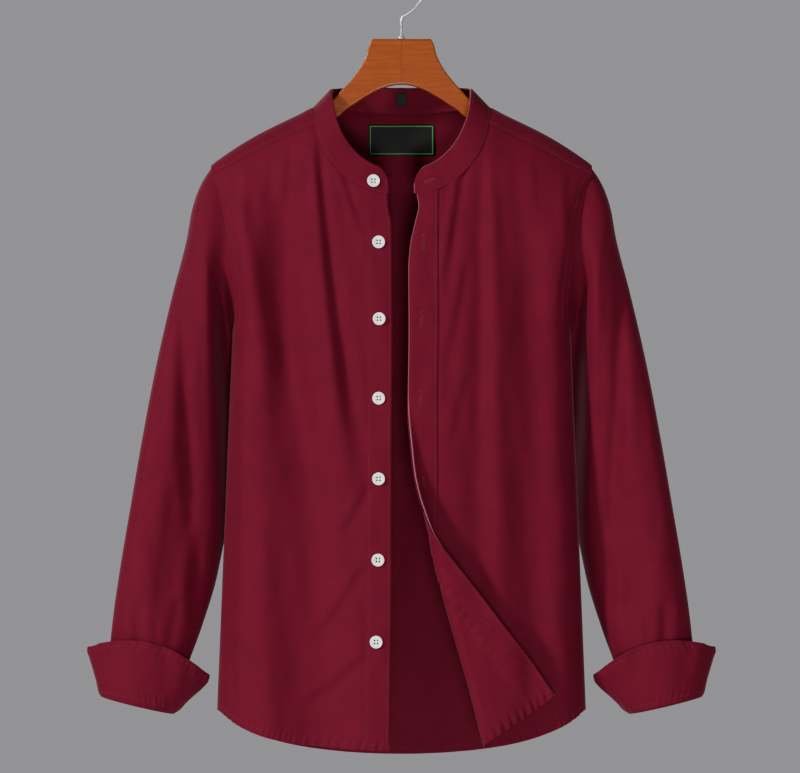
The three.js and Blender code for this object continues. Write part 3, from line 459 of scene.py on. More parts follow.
def half_width(side, z):
    """Half the width of the torso's section, wide enough above the underarm for the armhole's depth."""
    top = ARMHOLE[0]["z"]
    at = np.clip(z, UNDERARM_Z, top - ARMHOLE_TOP_EASE)
    height = (at - (top + UNDERARM_Z) / 2) / ((top - UNDERARM_Z) / 2)
    reach = ARMHOLE_REACH[side] * np.sqrt(np.maximum(0, 1 - height * height))
    edge = read(ARMHOLE, "z", side, at)
    drop = np.minimum(1, (shoulder_z(edge) - at) / roll_height(side, edge))
    full = read(DEPTH, "z", side, at) * np.sqrt(1 - (1 - drop) ** 2)
    above = edge / (1 - np.minimum(0.85, reach / full) ** ROUNDNESS) ** (1 / ROUNDNESS)
    return np.where(z <= UNDERARM_Z, side_x(z), above)


def over_shoulder(side, x, turn):
    """A point by x and its turn over the shoulder: 0 on the shoulder line, a quarter where the roll ends."""
    roll = roll_height(side, x)
    drop = np.where(turn < QUARTER, roll * (1 - np.cos(turn)), roll + (turn - QUARTER) * BELOW_ROLL)
    z = shoulder_z(x) - drop
    depth = read(DEPTH, "z", side, z) * rounded(x / half_width(side, z))
    y = depth * np.sin(np.minimum(turn, QUARTER))
    return points(x, -y if side == "front" else y, z)


def turn_at(side, x, z):
    """The turn over the shoulder at which the torso's surface reaches a height."""
    drop = np.maximum(0, shoulder_z(x) - z)
    roll = roll_height(side, x)
    in_roll = np.arccos(1 - np.minimum(drop / roll, 1))
    return np.where(drop < roll, in_roll, QUARTER + (drop - roll) / BELOW_ROLL)


def on_torso(side, x, z, folds=()):
    """The torso's surface with its creases, its unevenness and the dip at the armhole seam."""
    point = over_shoulder(side, x, turn_at(side, x, z))
    share = rounded(x / half_width(side, z))
    below = ease(shoulder_z(x) - z, 0, 60)
    rise = crease_rise(folds, x, z) + unevenness(x, z) * below * (0.35 + 0.65 * share)
    rise = rise - seam_dip(side, x, z)
    y = point[..., 1] + (-rise if side == "front" else rise)
    return points(x, y, z)


def seam_dip(side, x, z):
    """How far the cloth sinks towards the armhole seam."""
    from_seam = read(ARMHOLE, "z", side, z) - np.abs(x)
    fade = ease(z, UNDERARM_Z, UNDERARM_Z + 40) * ease(-z, -YOKE_SEAM_Z - 6, -YOKE_SEAM_Z + 22)
    return SEAM_DIP * (1 - ease(from_seam, 0, 15)) * fade


def neck_seam(along):
    """Hand, turn and place along the neck: 0 at the button side's end, 1 at the buttonhole side's end."""
    hand = np.where(along < 0.5, -1.0, 1.0)
    share = np.where(along < 0.5, along, 1 - along)
    before = share < FRONT_SHARE
    front_turn = NECK_END_TURN * (1 - share / FRONT_SHARE)
    back_turn = -QUARTER * (share - FRONT_SHARE) / (0.5 - FRONT_SHARE)
    front_x = NECK_CENTRE_X + (NECK_HALF - NECK_CENTRE_X) * np.cos(front_turn)
    front = on_torso("front", hand * front_x, NECK_POINT_Z - NECK_DROP * np.sin(np.maximum(front_turn, 0)))
    depth = read(DEPTH, "z", "back", NECK_POINT_Z)
    over = np.arcsin(np.clip(-BACK_NECK_DEPTH * np.sin(back_turn) / depth, 0, 0.97))
    back = over_shoulder("back", hand * NECK_HALF * np.cos(back_turn), over)
    return hand, np.where(before, front_turn, back_turn), np.where(before[..., None], front, back)


# Fronts, as cut: x runs outwards from the middle, and hand is -1 on the button side and 1 on the other
def neck_z(x):
    """Height of the neck seam above a place on a front."""
    across = np.clip((np.abs(x) - NECK_CENTRE_X) / (NECK_HALF - NECK_CENTRE_X), 0, 1)
    return NECK_POINT_Z - NECK_DROP * np.sqrt(1 - across * across)


def front_edge_x(hand, z):
    """The free edge of a front, down its band."""
    return hand * read(BUTTON_EDGE if hand < 0 else BUTTONHOLE_EDGE, "z", "x", z)


def band_width(hand, z):
    """How much of a band's width shows."""
    return read(BUTTONHOLE_EDGE, "z", "band", z) if hand > 0 else np.full(np.shape(z), BUTTON_BAND)


def across_band(hand, z, share):
    """Across the band, from 0 at the front's edge to 1 at the band's seam."""
    return front_edge_x(hand, z) + share * band_width(hand, z)


def front_top(hand, share):
    """A front's upper edge past its band, along the neck, the yoke seam and the armhole."""
    column = share * BODY_COLUMNS
    band_x = across_band(hand, neck_z(45), 1)
    end_turn = np.arccos((band_x - NECK_CENTRE_X) / (NECK_HALF - NECK_CENTRE_X))
    turn = mix(end_turn, YOKE_NECK_ANGLE, np.clip(column / NECK_COLUMNS, 0, 1))
    neck_x = NECK_CENTRE_X + (NECK_HALF - NECK_CENTRE_X) * np.cos(turn)
    yoke_x = mix(YOKE_FRONT_SEAM[0]["x"], YOKE_FRONT_SEAM[-1]["x"],
                 np.clip((column - NECK_COLUMNS) / YOKE_COLUMNS, 0, 1))
    down = np.clip((column - NECK_COLUMNS - YOKE_COLUMNS) / ARMHOLE_COLUMNS, 0, 1)
    arm_z = mix(YOKE_FRONT_SEAM[-1]["z"], UNDERARM_Z, (down + np.sin(down * QUARTER)) / 2)
    on_neck, on_yoke = column <= NECK_COLUMNS, column <= NECK_COLUMNS + YOKE_COLUMNS
    x = np.where(on_neck, neck_x, np.where(on_yoke, yoke_x, read(ARMHOLE, "z", "front", arm_z)))
    neck_line = NECK_POINT_Z - NECK_DROP * np.sin(turn)
    z = np.where(on_neck, neck_line, np.where(on_yoke, read(YOKE_FRONT_SEAM, "x", "z", yoke_x), arm_z))
    return x, z


def front_hem_z(hand, x):
    """Height of a front's hem, higher by the turned corner."""
    rise = TURNED_CORNER_RISE * np.clip((FOLD_BOTTOM[0] - x) / FOLD_BOTTOM[0], 0, 1.2)
    return hem_z(x) + (rise if hand > 0 else 0)


def band_places(hand, share, v):
    """Places on a band by its share across and down: x outwards from the middle, and z."""
    top = neck_z(across_band(hand, NECK_POINT_Z - NECK_DROP, share))
    z = mix(top, front_hem_z(hand, across_band(hand, HEM_Z, share)), v)
    return across_band(hand, z, share), z


def flat_front(hand, u, v):
    """The front as cut: x outwards from the middle, and z. Its rows crowd towards the hem."""
    v = 1 - (1 - v) ** ROWS_CROWD
    column = u * (BAND_COLUMNS + BODY_COLUMNS)
    band_x, band_z = band_places(hand, np.minimum(column / BAND_COLUMNS, 1), v)
    share = np.clip((column - BAND_COLUMNS) / BODY_COLUMNS, 0, 1)
    top_x, top_z = front_top(hand, share)
    spread = np.sin(share * QUARTER)
    bottom_x = mix(across_band(hand, HEM_Z, 1), HEM_HALF, spread)
    z = mix(top_z, front_hem_z(hand, bottom_x), v)
    top_band = across_band(hand, top_z, 1)
    top_share = (top_x - top_band) / (edge_x("front", top_z) - top_band)
    band = across_band(hand, z, 1)
    x = mix(band, edge_x("front", z), mix(top_share, spread, 1 - (1 - v) ** 3))
    on_band = column < BAND_COLUMNS
    return np.where(on_band, band_x, x), np.where(on_band, band_z, z)


# The turned corner
ALONG = np.array([FOLD_BOTTOM[0] - FOLD_TOP[0], FOLD_BOTTOM[1] - FOLD_TOP[1]])
ALONG = ALONG / np.linalg.norm(ALONG)
OUT = np.array([ALONG[1], -ALONG[0]])


def curl(key, x, z):
    """A column of the roll's table at the place beside the fold line."""
    return read(CURL, "down", key, (x - FOLD_TOP[0]) * ALONG[0] + (z - FOLD_TOP[1]) * ALONG[1])


def past_fold(x, z):
    """How far a flat place lies past the line where the roll begins."""
    return (x - FOLD_TOP[0]) * OUT[0] + (z - FOLD_TOP[1]) * OUT[1] + curl("radius", x, z) - curl("bow", x, z)


def buttonhole_front(x, z):
    """The buttonhole front by its flat place, with what lies past the fold line rolled back over it."""
    radius = curl("radius", x, z)
    past = np.maximum(past_fold(x, z), 0)
    turn = np.minimum(past / radius, math.pi)
    flat = np.maximum(0, past - math.pi * radius)
    shift = radius * np.sin(turn) - flat - past
    point = on_torso("front", x + OUT[0] * shift, z + OUT[1] * shift, BUTTONHOLE_SIDE_FOLDS)
    point[..., 1] -= radius * (1 - np.cos(turn)) + FOLD_LIFT * flat
    return point


def button_front(x, z):
    """The button side's front by its flat place."""
    return on_torso("front", x, z, BUTTON_SIDE_FOLDS)


FRONT_SURFACES = {-1: button_front, 1: buttonhole_front}


def back_surface(x, z):
    """The back by its place as seen from behind, so that x runs right there."""
    return on_torso("back", -x, z, BACK_FOLDS)


def raised(surface, a, b, lift, step=1.5):
    """Points lifted off a surface, to the side from which a runs right and b runs up."""
    right = surface(a + step, b) - surface(a - step, b)
    up = surface(a, b + step) - surface(a, b - step)
    return surface(a, b) + unit(np.cross(right, up)) * np.asarray(lift)[..., None]


# Making and dressing pieces
def new_object(name, data):
    """An object with this data, linked into the scene."""
    thing = bpy.data.objects.new(name, data)
    bpy.context.collection.objects.link(thing)
    return thing


def mesh_of(name, bm, smooth=True):
    """A finished bmesh as a new mesh."""
    for face in bm.faces:
        face.smooth = smooth
    mesh = bpy.data.meshes.new(name)
    bm.to_mesh(mesh)
    bm.free()
    return mesh


def evaluated_mesh(thing, *helpers):
    """The mesh that a curve or a modifier gives, with the objects that made it removed."""
    mesh = bpy.data.meshes.new_from_object(thing.evaluated_get(bpy.context.evaluated_depsgraph_get()))
    for spent in (thing, *helpers):
        bpy.data.objects.remove(spent)
    return mesh


def dress(piece, material, stands_for=None):
    """Gives a piece its material and the body it rides on, and hides the CAD part that it stands for."""
    piece.data.materials.clear()
    piece.data.materials.append(material)
    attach(piece, "root")
    if stands_for:
        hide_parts(stands_for)
    return piece


def finish_cloth(piece, stands_for, material, thickness=CLOTH):
    """Gives a laid sheet the cloth's thickness and dresses it."""
    wall = piece.modifiers.new("cloth thickness", "SOLIDIFY")
    wall.thickness = thickness * MM
    wall.offset = 0
    normals = piece.modifiers.new("flat normals", "WEIGHTED_NORMAL")
    normals.weight = 90
    return dress(piece, material, stands_for)


def values_of(group, key, width, kind=np.float64):
    """One property of all the elements of a mesh, as rows of numbers."""
    values = np.empty(len(group) * width, dtype=kind)
    group.foreach_get(key, values)
    return values.reshape(-1, width)


def lay(name, grid, place, closed=False):
    """A grid laid by place(u, v), which gives its points, its flat cut and where a painted highlight runs
    along its edges.
    """
    bm = bmesh.new()
    bm.loops.layers.uv.new("cut")
    bmesh.ops.create_grid(bm, x_segments=grid[0], y_segments=grid[1], size=0.5, calc_uvs=True)
    mesh = mesh_of(name, bm)
    corners = values_of(mesh.vertices, "co", 3)
    low, high = corners.min(axis=0), corners.max(axis=0)
    u = (corners[:, 0] - low[0]) / (high[0] - low[0])
    v = (high[1] - corners[:, 1]) / (high[1] - low[1])
    laid, cut, *edge_highlight = place(u, v)
    mesh.vertices.foreach_set("co", (laid * MM).ravel())
    at_corner = values_of(mesh.loops, "vertex_index", 1, np.int32)[:, 0]
    mesh.uv_layers["cut"].data.foreach_set("uv", (cut[at_corner] * MM).ravel())
    for amount in edge_highlight:
        mesh.attributes.new("edge_highlight", "FLOAT", "POINT").data.foreach_set("value", amount.astype(np.float32))
    mesh.update()
    if closed:
        close_seam(mesh)
    return new_object(name, mesh)


def close_seam(mesh):
    """Joins the two edges of a grid that meet, and points its faces outwards."""
    bm = bmesh.new()
    bm.from_mesh(mesh)
    bmesh.ops.remove_doubles(bm, verts=bm.verts, dist=0.02 * MM)
    bmesh.ops.recalc_face_normals(bm, faces=bm.faces)
    bm.to_mesh(mesh)
    bm.free()


def flat_cut(a, b):
    """Places on the flat cut, in millimetres."""
    return np.stack(np.broadcast_arrays(a, b), axis=-1).astype(float)


# Relief of sewing: turned hems and edges, sunk stitches, and small puckers beside them
def puckers(along, distance, reach=7.0, height=0.28, wave=9.5, slant=0.35):
    """Small gathers across a row of stitches, uneven in spacing and strength."""
    run = along + slant * distance
    strength = 0.55 + 0.45 * np.sin(run / 41.0 + 1.0)
    waves = np.sin(2 * math.pi * run / wave + 1.9 * np.sin(run / 27.0)) * strength
    finer = 0.45 * np.sin(2 * math.pi * run / (0.53 * wave) + 2.3 * np.sin(run / 19.0 + 2.0))
    return height * (waves + finer) * np.exp(-(distance / reach) ** 2)


def groove(distance, depth, width):
    """How far a row of stitches sinks into the cloth, by the distance from it."""
    return -depth * np.exp(-(distance / width) ** 2)


def edge_roll(from_edge):
    """How far a turned edge rolls back from the face."""
    return EDGE_ROLL * (1 - ease(from_edge, 0, EDGE_ROLL_WIDTH))


def painted_edge_highlight(from_edge):
    """How strongly a painted highlight shows beside an edge, where its turned fibres catch the light."""
    return np.exp(-(from_edge / EDGE_HIGHLIGHT_WIDTH) ** 2)


def hem_relief(distance, along):
    """Rise of a turned hem at a distance from its edge, sunk along its stitches."""
    turned = 0.45 * (1 - ease(distance, HEM_STITCH, HEM_DEPTH + 2.0))
    gathers = puckers(along, distance - HEM_DEPTH / 2, reach=7.5, height=1.35, wave=10.5, slant=0.25)
    return turned + groove(distance - HEM_STITCH, 0.35, 2.0) + gathers


def body_hem_relief(side, x, z, hem):
    """The hem of a body piece, fading out at its side seam."""
    return hem_relief(z - hem, x) * ease(edge_x(side, z) - np.abs(x), 0.5, 12)


def armhole_relief(side, x, z):
    """The seam allowance stitched flat along an armhole, with gathers beside its stitches."""
    from_seam = np.where(z > UNDERARM_Z - 5, np.abs(read(ARMHOLE, "z", side, z) - np.abs(x)), FAR)
    allowance = 0.35 * (1 - ease(from_seam, 6.5, 9.5))
    return allowance + puckers(z, from_seam - ARMHOLE_STITCH, reach=5.0, height=0.25)


# Materials
def linear(hex_colour):
    """An sRGB hex colour as linear RGBA."""
    parts = [int(hex_colour[i:i + 2], 16) / 255 for i in (1, 3, 5)]
    return [p / 12.92 if p <= 0.04045 else ((p + 0.055) / 1.055) ** 2.4 for p in parts] + [1.0]


def per_metre(*sizes_mm):
    """How many times patterns of these sizes in millimetres fit into a metre."""
    return tuple(1 / (size * MM) for size in sizes_mm)


def node(tree, kind, settings=(), inputs=(), stops=()):
    """Adds a node, sets its properties and a ramp's stops, and fills its inputs with values or links."""
    made = tree.nodes.new(kind)
    for key, value in dict(settings).items():
        setattr(made, key, value)
    for key, value in dict(inputs).items():
        if isinstance(value, bpy.types.NodeSocket):
            tree.links.new(value, made.inputs[key])
        else:
            made.inputs[key].default_value = value
    if stops:
        ramp = made.color_ramp.elements
        ramp.remove(ramp[-1])
        ramp[0].position, ramp[0].color = stops[0][0], linear(stops[0][1])
        for position, colour in stops[1:]:
            ramp.new(position).color = linear(colour)
    return made


def new_material(name, **shader):
    """A material, its node tree and its shader, with the constant values set on the shader's own sockets."""
    material = bpy.data.materials.new(name)
    material.use_nodes = True
    tree = material.node_tree
    surface = next(n for n in tree.nodes if n.type == "BSDF_PRINCIPLED")
    for key, value in shader.items():
        surface.inputs[key.replace("_", " ")].default_value = value
    return material, tree, surface


def woven(tree, yarn_mm):
    """Height of a plain weave from the flat cut: warp and weft yarns pass over each other by turns."""
    cut = node(tree, "ShaderNodeUVMap", {"uv_map": "cut"}).outputs["UV"]
    parts = node(tree, "ShaderNodeSeparateXYZ", inputs={"Vector": cut})
    waves = []
    for axis in ("X", "Y"):
        turns = node(tree, "ShaderNodeMath", {"operation": "MULTIPLY"},
                     {0: parts.outputs[axis], 1: math.pi / (yarn_mm * MM)})
        waves.append(node(tree, "ShaderNodeMath", {"operation": "SINE"}, {0: turns.outputs[0]}).outputs[0])
    return cut, node(tree, "ShaderNodeMath", {"operation": "MULTIPLY"}, {0: waves[0], 1: waves[1]}).outputs[0]


def dyed_cotton_poplin(name, low, middle, high, highlight_colour):
    """Piece-dyed cotton poplin: matt, with a soft bloom of fibre ends, slightly uneven dye and slubs, and a
    painted highlight along turned edges.
    """
    # Real poplin yarns lie about 0.2 mm apart, too fine to show in the render, so they are drawn at 0.55 mm.
    material, tree, surface = new_material(
        name, Roughness=0.8, IOR=1.47, Specular_IOR_Level=0.1, Sheen_Weight=0.14, Sheen_Roughness=0.3,
        Sheen_Tint=linear("#e59aa6"))
    cut, weave = woven(tree, yarn_mm=0.55)
    dye = node(tree, "ShaderNodeTexNoise",
               inputs={"Vector": cut, "Scale": per_metre(38.5)[0], "Detail": 4.0, "Roughness": 0.6})
    warp_at = node(tree, "ShaderNodeMapping", inputs={"Vector": cut, "Scale": (*per_metre(1.1, 11.0), 1.0)})
    warp = node(tree, "ShaderNodeTexNoise", inputs={
        "Vector": warp_at.outputs[0], "Scale": 1.0, "Detail": 2.0})
    weft_at = node(tree, "ShaderNodeMapping", inputs={"Vector": cut, "Scale": (*per_metre(12.5, 1.25), 1.0)})
    weft = node(tree, "ShaderNodeTexNoise", inputs={
        "Vector": weft_at.outputs[0], "Scale": 1.0, "Detail": 2.0})
    slubs = node(tree, "ShaderNodeMath", {"operation": "ADD"},
                 {0: warp.outputs["Fac"], 1: weft.outputs["Fac"]})
    shade = node(tree, "ShaderNodeMath", {"operation": "MULTIPLY_ADD"},
                 {0: slubs.outputs[0], 1: 0.5, 2: dye.outputs["Fac"]})
    depth = node(tree, "ShaderNodeMapRange",
                 inputs={"Value": shade.outputs[0], "From Min": 0.7, "From Max": 1.3})
    dyed = node(tree, "ShaderNodeValToRGB", inputs={"Fac": depth.outputs[0]},
                stops=((0.0, low), (0.5, middle), (1.0, high)))
    # Painted highlight: turned edges are painted paler where they catch the light
    edge_highlight = node(tree, "ShaderNodeAttribute", {"attribute_name": "edge_highlight"})
    highlighted = node(tree, "ShaderNodeMix", {"data_type": "RGBA"},
                  {0: edge_highlight.outputs["Fac"], 6: dyed.outputs["Color"], 7: linear(highlight_colour)})
    tree.links.new(highlighted.outputs[2], surface.inputs["Base Color"])
    height = node(tree, "ShaderNodeMath", {"operation": "MULTIPLY_ADD"},
                  {0: weave, 1: 0.5, 2: slubs.outputs[0]})
    relief = node(tree, "ShaderNodeBump",
                  inputs={"Height": height.outputs[0], "Strength": 0.35, "Distance": 0.12 * MM})
    tree.links.new(relief.outputs[0], surface.inputs["Normal"])
    return material


def sewing_thread(name, dark, light):
    """Spun polyester sewing thread: twisted from two tones, with a faint silky gloss."""
    material, tree, surface = new_material(name, Roughness=0.6, Specular_IOR_Level=0.2, Sheen_Weight=0.05)
    place = node(tree, "ShaderNodeTexCoord")
    twist = node(tree, "ShaderNodeTexNoise",
                 inputs={"Vector": place.outputs["Object"], "Scale": per_metre(1.1)[0], "Detail": 1.0})
    tones = node(tree, "ShaderNodeValToRGB", inputs={"Fac": twist.outputs["Fac"]},
                 stops=((0.3, dark), (0.7, light)))
    tree.links.new(tones.outputs["Color"], surface.inputs["Base Color"])
    return material


def moulded_resin():
    """Polished polyester resin button: clean white with a clear highlight and faint cloudy depth."""
    material, tree, surface = new_material(
        "polished white polyester resin", Roughness=0.22, IOR=1.54, Subsurface_Weight=0.04, Coat_Weight=0.25,
        Subsurface_Scale=2 * MM, Coat_Roughness=0.12)
    place = node(tree, "ShaderNodeTexCoord")
    cloud = node(tree, "ShaderNodeTexNoise",
                 inputs={"Vector": place.outputs["Object"], "Scale": per_metre(4.5)[0], "Detail": 3.0})
    white = node(tree, "ShaderNodeValToRGB", inputs={"Fac": cloud.outputs["Fac"]},
                 stops=((0.3, "#f8f6f4"), (0.7, "#ffffff")))
    tree.links.new(white.outputs["Color"], surface.inputs["Base Color"])
    return material


def woven_satin_label(name, border=False):
    """Woven damask label satin: black, slightly shiny, with a fine cross rib."""
    # Real label yarns are about 0.1 mm, too fine to show in the render, so they are drawn at 0.5 mm.
    material, tree, surface = new_material(name, Roughness=0.55, Specular_IOR_Level=0.12)
    cut, weave = woven(tree, yarn_mm=0.5)
    speckle = node(tree, "ShaderNodeTexNoise", inputs={"Vector": cut, "Scale": per_metre(1.4)[0]})
    black = node(tree, "ShaderNodeValToRGB", inputs={"Fac": speckle.outputs["Fac"]},
                 stops=((0.3, "#090b09"), (0.7, "#11140f")))
    colour = bordered(tree, cut, black.outputs["Color"]) if border else black.outputs["Color"]
    tree.links.new(colour, surface.inputs["Base Color"])
    relief = node(tree, "ShaderNodeBump", inputs={"Height": weave, "Strength": 0.3, "Distance": 0.1 * MM})
    tree.links.new(relief.outputs[0], surface.inputs["Normal"])
    return material


def bordered(tree, cut, ground):
    """A thin green line woven in at one distance from the neck label's edges."""
    parts = node(tree, "ShaderNodeSeparateXYZ", inputs={"Vector": cut})
    insets = []
    for axis, size in (("X", NECK_LABEL["width"]), ("Y", NECK_LABEL["height"])):
        middle = node(tree, "ShaderNodeMath", {"operation": "ABSOLUTE"}, {0: parts.outputs[axis]})
        insets.append(node(tree, "ShaderNodeMath", {"operation": "SUBTRACT"},
                           {0: size / 2 * MM, 1: middle.outputs[0]}))
    nearest = node(tree, "ShaderNodeMath", {"operation": "MINIMUM"},
                   {0: insets[0].outputs[0], 1: insets[1].outputs[0]})
    from_line = node(tree, "ShaderNodeMath", {"operation": "SUBTRACT"},
                     {0: nearest.outputs[0], 1: LABEL_BORDER * MM})
    close = node(tree, "ShaderNodeMath", {"operation": "ABSOLUTE"}, {0: from_line.outputs[0]})
    line = node(tree, "ShaderNodeMath", {"operation": "LESS_THAN"},
                {0: close.outputs[0], 1: LABEL_BORDER_HALF * MM})
    return node(tree, "ShaderNodeMix", {"data_type": "RGBA"},
                {0: line.outputs[0], 6: ground, 7: linear("#2f7d3f")}).outputs[2]


def varnished_beech():
    """Stained beech under clear gloss varnish: long fine grain, short dark flecks, sharp highlights."""
    # Two boards meet in the middle: the grain slopes down each arm, and each arm has its own.
    material, tree, surface = new_material(
        "stained beech, clear gloss varnish", Roughness=0.36, IOR=1.5, Specular_IOR_Level=0.14,
        Coat_Weight=0.1, Coat_Roughness=0.14)
    place = node(tree, "ShaderNodeTexCoord")
    parts = node(tree, "ShaderNodeSeparateXYZ", inputs={"Vector": place.outputs["Object"]})
    outwards = node(tree, "ShaderNodeMath", {"operation": "ABSOLUTE"}, {0: parts.outputs["X"]})
    board = node(tree, "ShaderNodeMath", {"operation": "GREATER_THAN"}, {0: parts.outputs["X"], 1: 0.0})
    depth = node(tree, "ShaderNodeMath", {"operation": "ADD"}, {0: parts.outputs["Y"], 1: board.outputs[0]})
    boards = node(tree, "ShaderNodeCombineXYZ",
                  inputs={"X": outwards.outputs[0], "Y": depth.outputs[0], "Z": parts.outputs["Z"]})
    slope = (0.0, math.radians(-35), 0.0)
    grain_at = node(tree, "ShaderNodeMapping", inputs={
        "Vector": boards.outputs[0], "Rotation": slope, "Scale": per_metre(45.5, 6.25, 3.85)})
    grain = node(tree, "ShaderNodeTexNoise", inputs={
        "Vector": grain_at.outputs[0], "Scale": 1.0, "Detail": 6.0, "Roughness": 0.6, "Distortion": 0.4})
    fleck_at = node(tree, "ShaderNodeMapping", inputs={
        "Vector": boards.outputs[0], "Rotation": slope, "Scale": per_metre(3.1, 0.67, 0.67)})
    fleck = node(tree, "ShaderNodeTexNoise", inputs={
        "Vector": fleck_at.outputs[0], "Scale": 1.0, "Detail": 2.0})
    stain = node(tree, "ShaderNodeValToRGB", inputs={"Fac": grain.outputs["Fac"]},
                 stops=((0.2, "#6e2f0b"), (0.5, "#7d370e"), (0.8, "#8d4213")))
    dark = node(tree, "ShaderNodeValToRGB", inputs={"Fac": fleck.outputs["Fac"]},
                stops=((0.3, "#a8663c"), (0.42, "#ffffff")))
    flecked = node(tree, "ShaderNodeMix", {"data_type": "RGBA", "blend_type": "MULTIPLY"},
                   {0: 0.35, 6: stain.outputs["Color"], 7: dark.outputs["Color"]})
    joint = node(tree, "ShaderNodeMath", {"operation": "LESS_THAN"}, {0: outwards.outputs[0], 1: 0.3 * MM})
    joined = node(tree, "ShaderNodeMix", {"data_type": "RGBA"},
                  {0: joint.outputs[0], 6: flecked.outputs[2], 7: linear("#5a2a14")})
    tree.links.new(joined.outputs[2], surface.inputs["Base Color"])
    relief = node(tree, "ShaderNodeBump",
                  inputs={"Height": grain.outputs["Fac"], "Strength": 0.06, "Distance": 0.3 * MM})
    tree.links.new(relief.outputs[0], surface.inputs["Normal"])
    return material


def bright_nickel_plate():
    """Drawn steel wire, bright nickel plated: mirror-like with faint drawing marks."""
    material, tree, surface = new_material("bright nickel plated steel wire", Metallic=1.0)
    place = node(tree, "ShaderNodeTexCoord")
    marks = node(tree, "ShaderNodeTexNoise",
                 inputs={"Vector": place.outputs["Object"], "Scale": per_metre(2.6)[0], "Detail": 3.0})
    tones = node(tree, "ShaderNodeValToRGB", inputs={"Fac": marks.outputs["Fac"]},
                 stops=((0.3, "#b9bbbf"), (0.7, "#d6d7da")))
    tree.links.new(tones.outputs["Color"], surface.inputs["Base Color"])
    rough = node(tree, "ShaderNodeMapRange",
                 inputs={"Value": marks.outputs["Fac"], "To Min": 0.24, "To Max": 0.34})
    tree.links.new(rough.outputs[0], surface.inputs["Roughness"])
    return material


# The last colour is the painted highlight along turned edges
COTTON = dyed_cotton_poplin("piece-dyed cotton poplin", "#4f061b", "#53071c", "#58081f", "#944e5c")
THREAD = sewing_thread("spun polyester sewing thread, dark red", "#54091c", "#6a172b")
WHITE_THREAD = sewing_thread("spun polyester sewing thread, white", "#cfc9c6", "#efebe8")
BLACK_THREAD = sewing_thread("spun polyester sewing thread, black", "#101210", "#24261f")
BUTTON_RESIN = moulded_resin()
LABEL_SATIN = woven_satin_label("woven satin label with a green border", border=True)
TAB_SATIN = woven_satin_label("woven satin size tab")
BEECH = varnished_beech()
NICKEL = bright_nickel_plate()


# Stitches
def stitch_shape():
    """One stitch of unit length and width: a short thread with rounded ends."""
    bm = bmesh.new()
    bmesh.ops.create_cone(bm, cap_ends=True, segments=5, radius1=0.5, radius2=0.5, depth=0.62)
    for face in [face for face in bm.faces if len(face.verts) == 5]:
        bmesh.ops.inset_individual(bm, faces=[face], thickness=0.2, depth=0.16)
    bmesh.ops.triangulate(bm, faces=bm.faces)
    return mesh_of("one stitch", bm)


ONE_STITCH = stitch_shape()


def thread_piece(name, rows, material=THREAD):
    """Joins a stitch at every place of the rows into one piece."""
    shape = values_of(ONE_STITCH.vertices, "co", 3)
    corners = np.array([list(face.vertices) for face in ONE_STITCH.polygons])
    middles, along, normals, lengths, widths = (np.concatenate(part) for part in zip(*rows))
    across = unit(np.cross(along, normals))
    up = np.cross(across, along)
    laid = middles[:, None] + shape[None, :, 2, None] * (along * lengths[:, None])[:, None]
    laid = laid + shape[None, :, 0, None] * (across * widths[:, None])[:, None]
    laid = laid + shape[None, :, 1, None] * (up * widths[:, None] * 0.8)[:, None]
    faces = corners[None] + (np.arange(len(middles)) * len(shape))[:, None, None]
    mesh = bpy.data.meshes.new(name)
    mesh.from_pydata((laid.reshape(-1, 3) * MM).tolist(), [], faces.reshape(-1, 3).tolist())
    mesh.polygons.foreach_set("use_smooth", [True] * len(mesh.polygons))
    mesh.update()
    return dress(new_object(name, mesh), material)


def stitch_row(middles, along, normals, length, width):
    """A row of stitches: their middles, directions, normals, lengths and widths in millimetres."""
    return middles, along, normals, np.full(len(middles), length), np.full(len(middles), width)


def at_run(place, run, values):
    """Points read at places along a path, by the running length at each of its points."""
    return np.stack([np.interp(place, run, values[:, k]) for k in range(3)], axis=1)


def stations(path, pitch, fewest=1):
    """Evenly spaced places on a path: its running length, the places along it, and its direction there."""
    run = np.concatenate([[0], np.cumsum(np.linalg.norm(np.diff(path, axis=0), axis=1))])
    count = max(fewest, int(run[-1] / pitch))
    at = (np.arange(count) + 0.5) * run[-1] / count
    return run, at, unit(at_run(at + 0.5, run, path) - at_run(at - 0.5, run, path))


def row_of_stitches(surface, a, b, lift, pitch=STITCH_PITCH, width=STITCH_WIDTH, length=STITCH_LENGTH):
    """Stitches along a path of surface places, lifted off the surface by a number or by lift(a, b)."""
    def lift_at(a, b):
        return lift(a, b) if callable(lift) else np.full(np.shape(a), float(lift))
    run, at, along = stations(raised(surface, a, b, lift_at(a, b)), pitch, fewest=2)
    a, b = np.interp(at, run, a), np.interp(at, run, b)
    lifts = lift_at(a, b)
    middles = raised(surface, a, b, lifts)
    normals = unit(raised(surface, a, b, lifts + np.sign(np.mean(lifts))) - middles)
    wobble = 1 + 0.06 * np.sin(np.arange(len(at)) * 2.4)
    return stitch_row(middles, along, normals, length * wobble, width)


def row_on_path(path, above):
    """Stitches along a path of points, facing a second path above it."""
    run, at, along = stations(path, STITCH_PITCH)
    middles = at_run(at, run, path)
    return stitch_row(middles, along, unit(at_run(at, run, above) - middles), STITCH_LENGTH, STITCH_WIDTH)


def close_stitches(surface, a, b, lift, pitch, length, width):
    """Stitches side by side, each laid across a path of surface places."""
    middles, _, normals, _, _ = row_of_stitches(surface, a, b, lift, pitch)
    across = unit(np.cross(np.gradient(middles, axis=0), normals))
    return stitch_row(middles, across, normals, length, width)


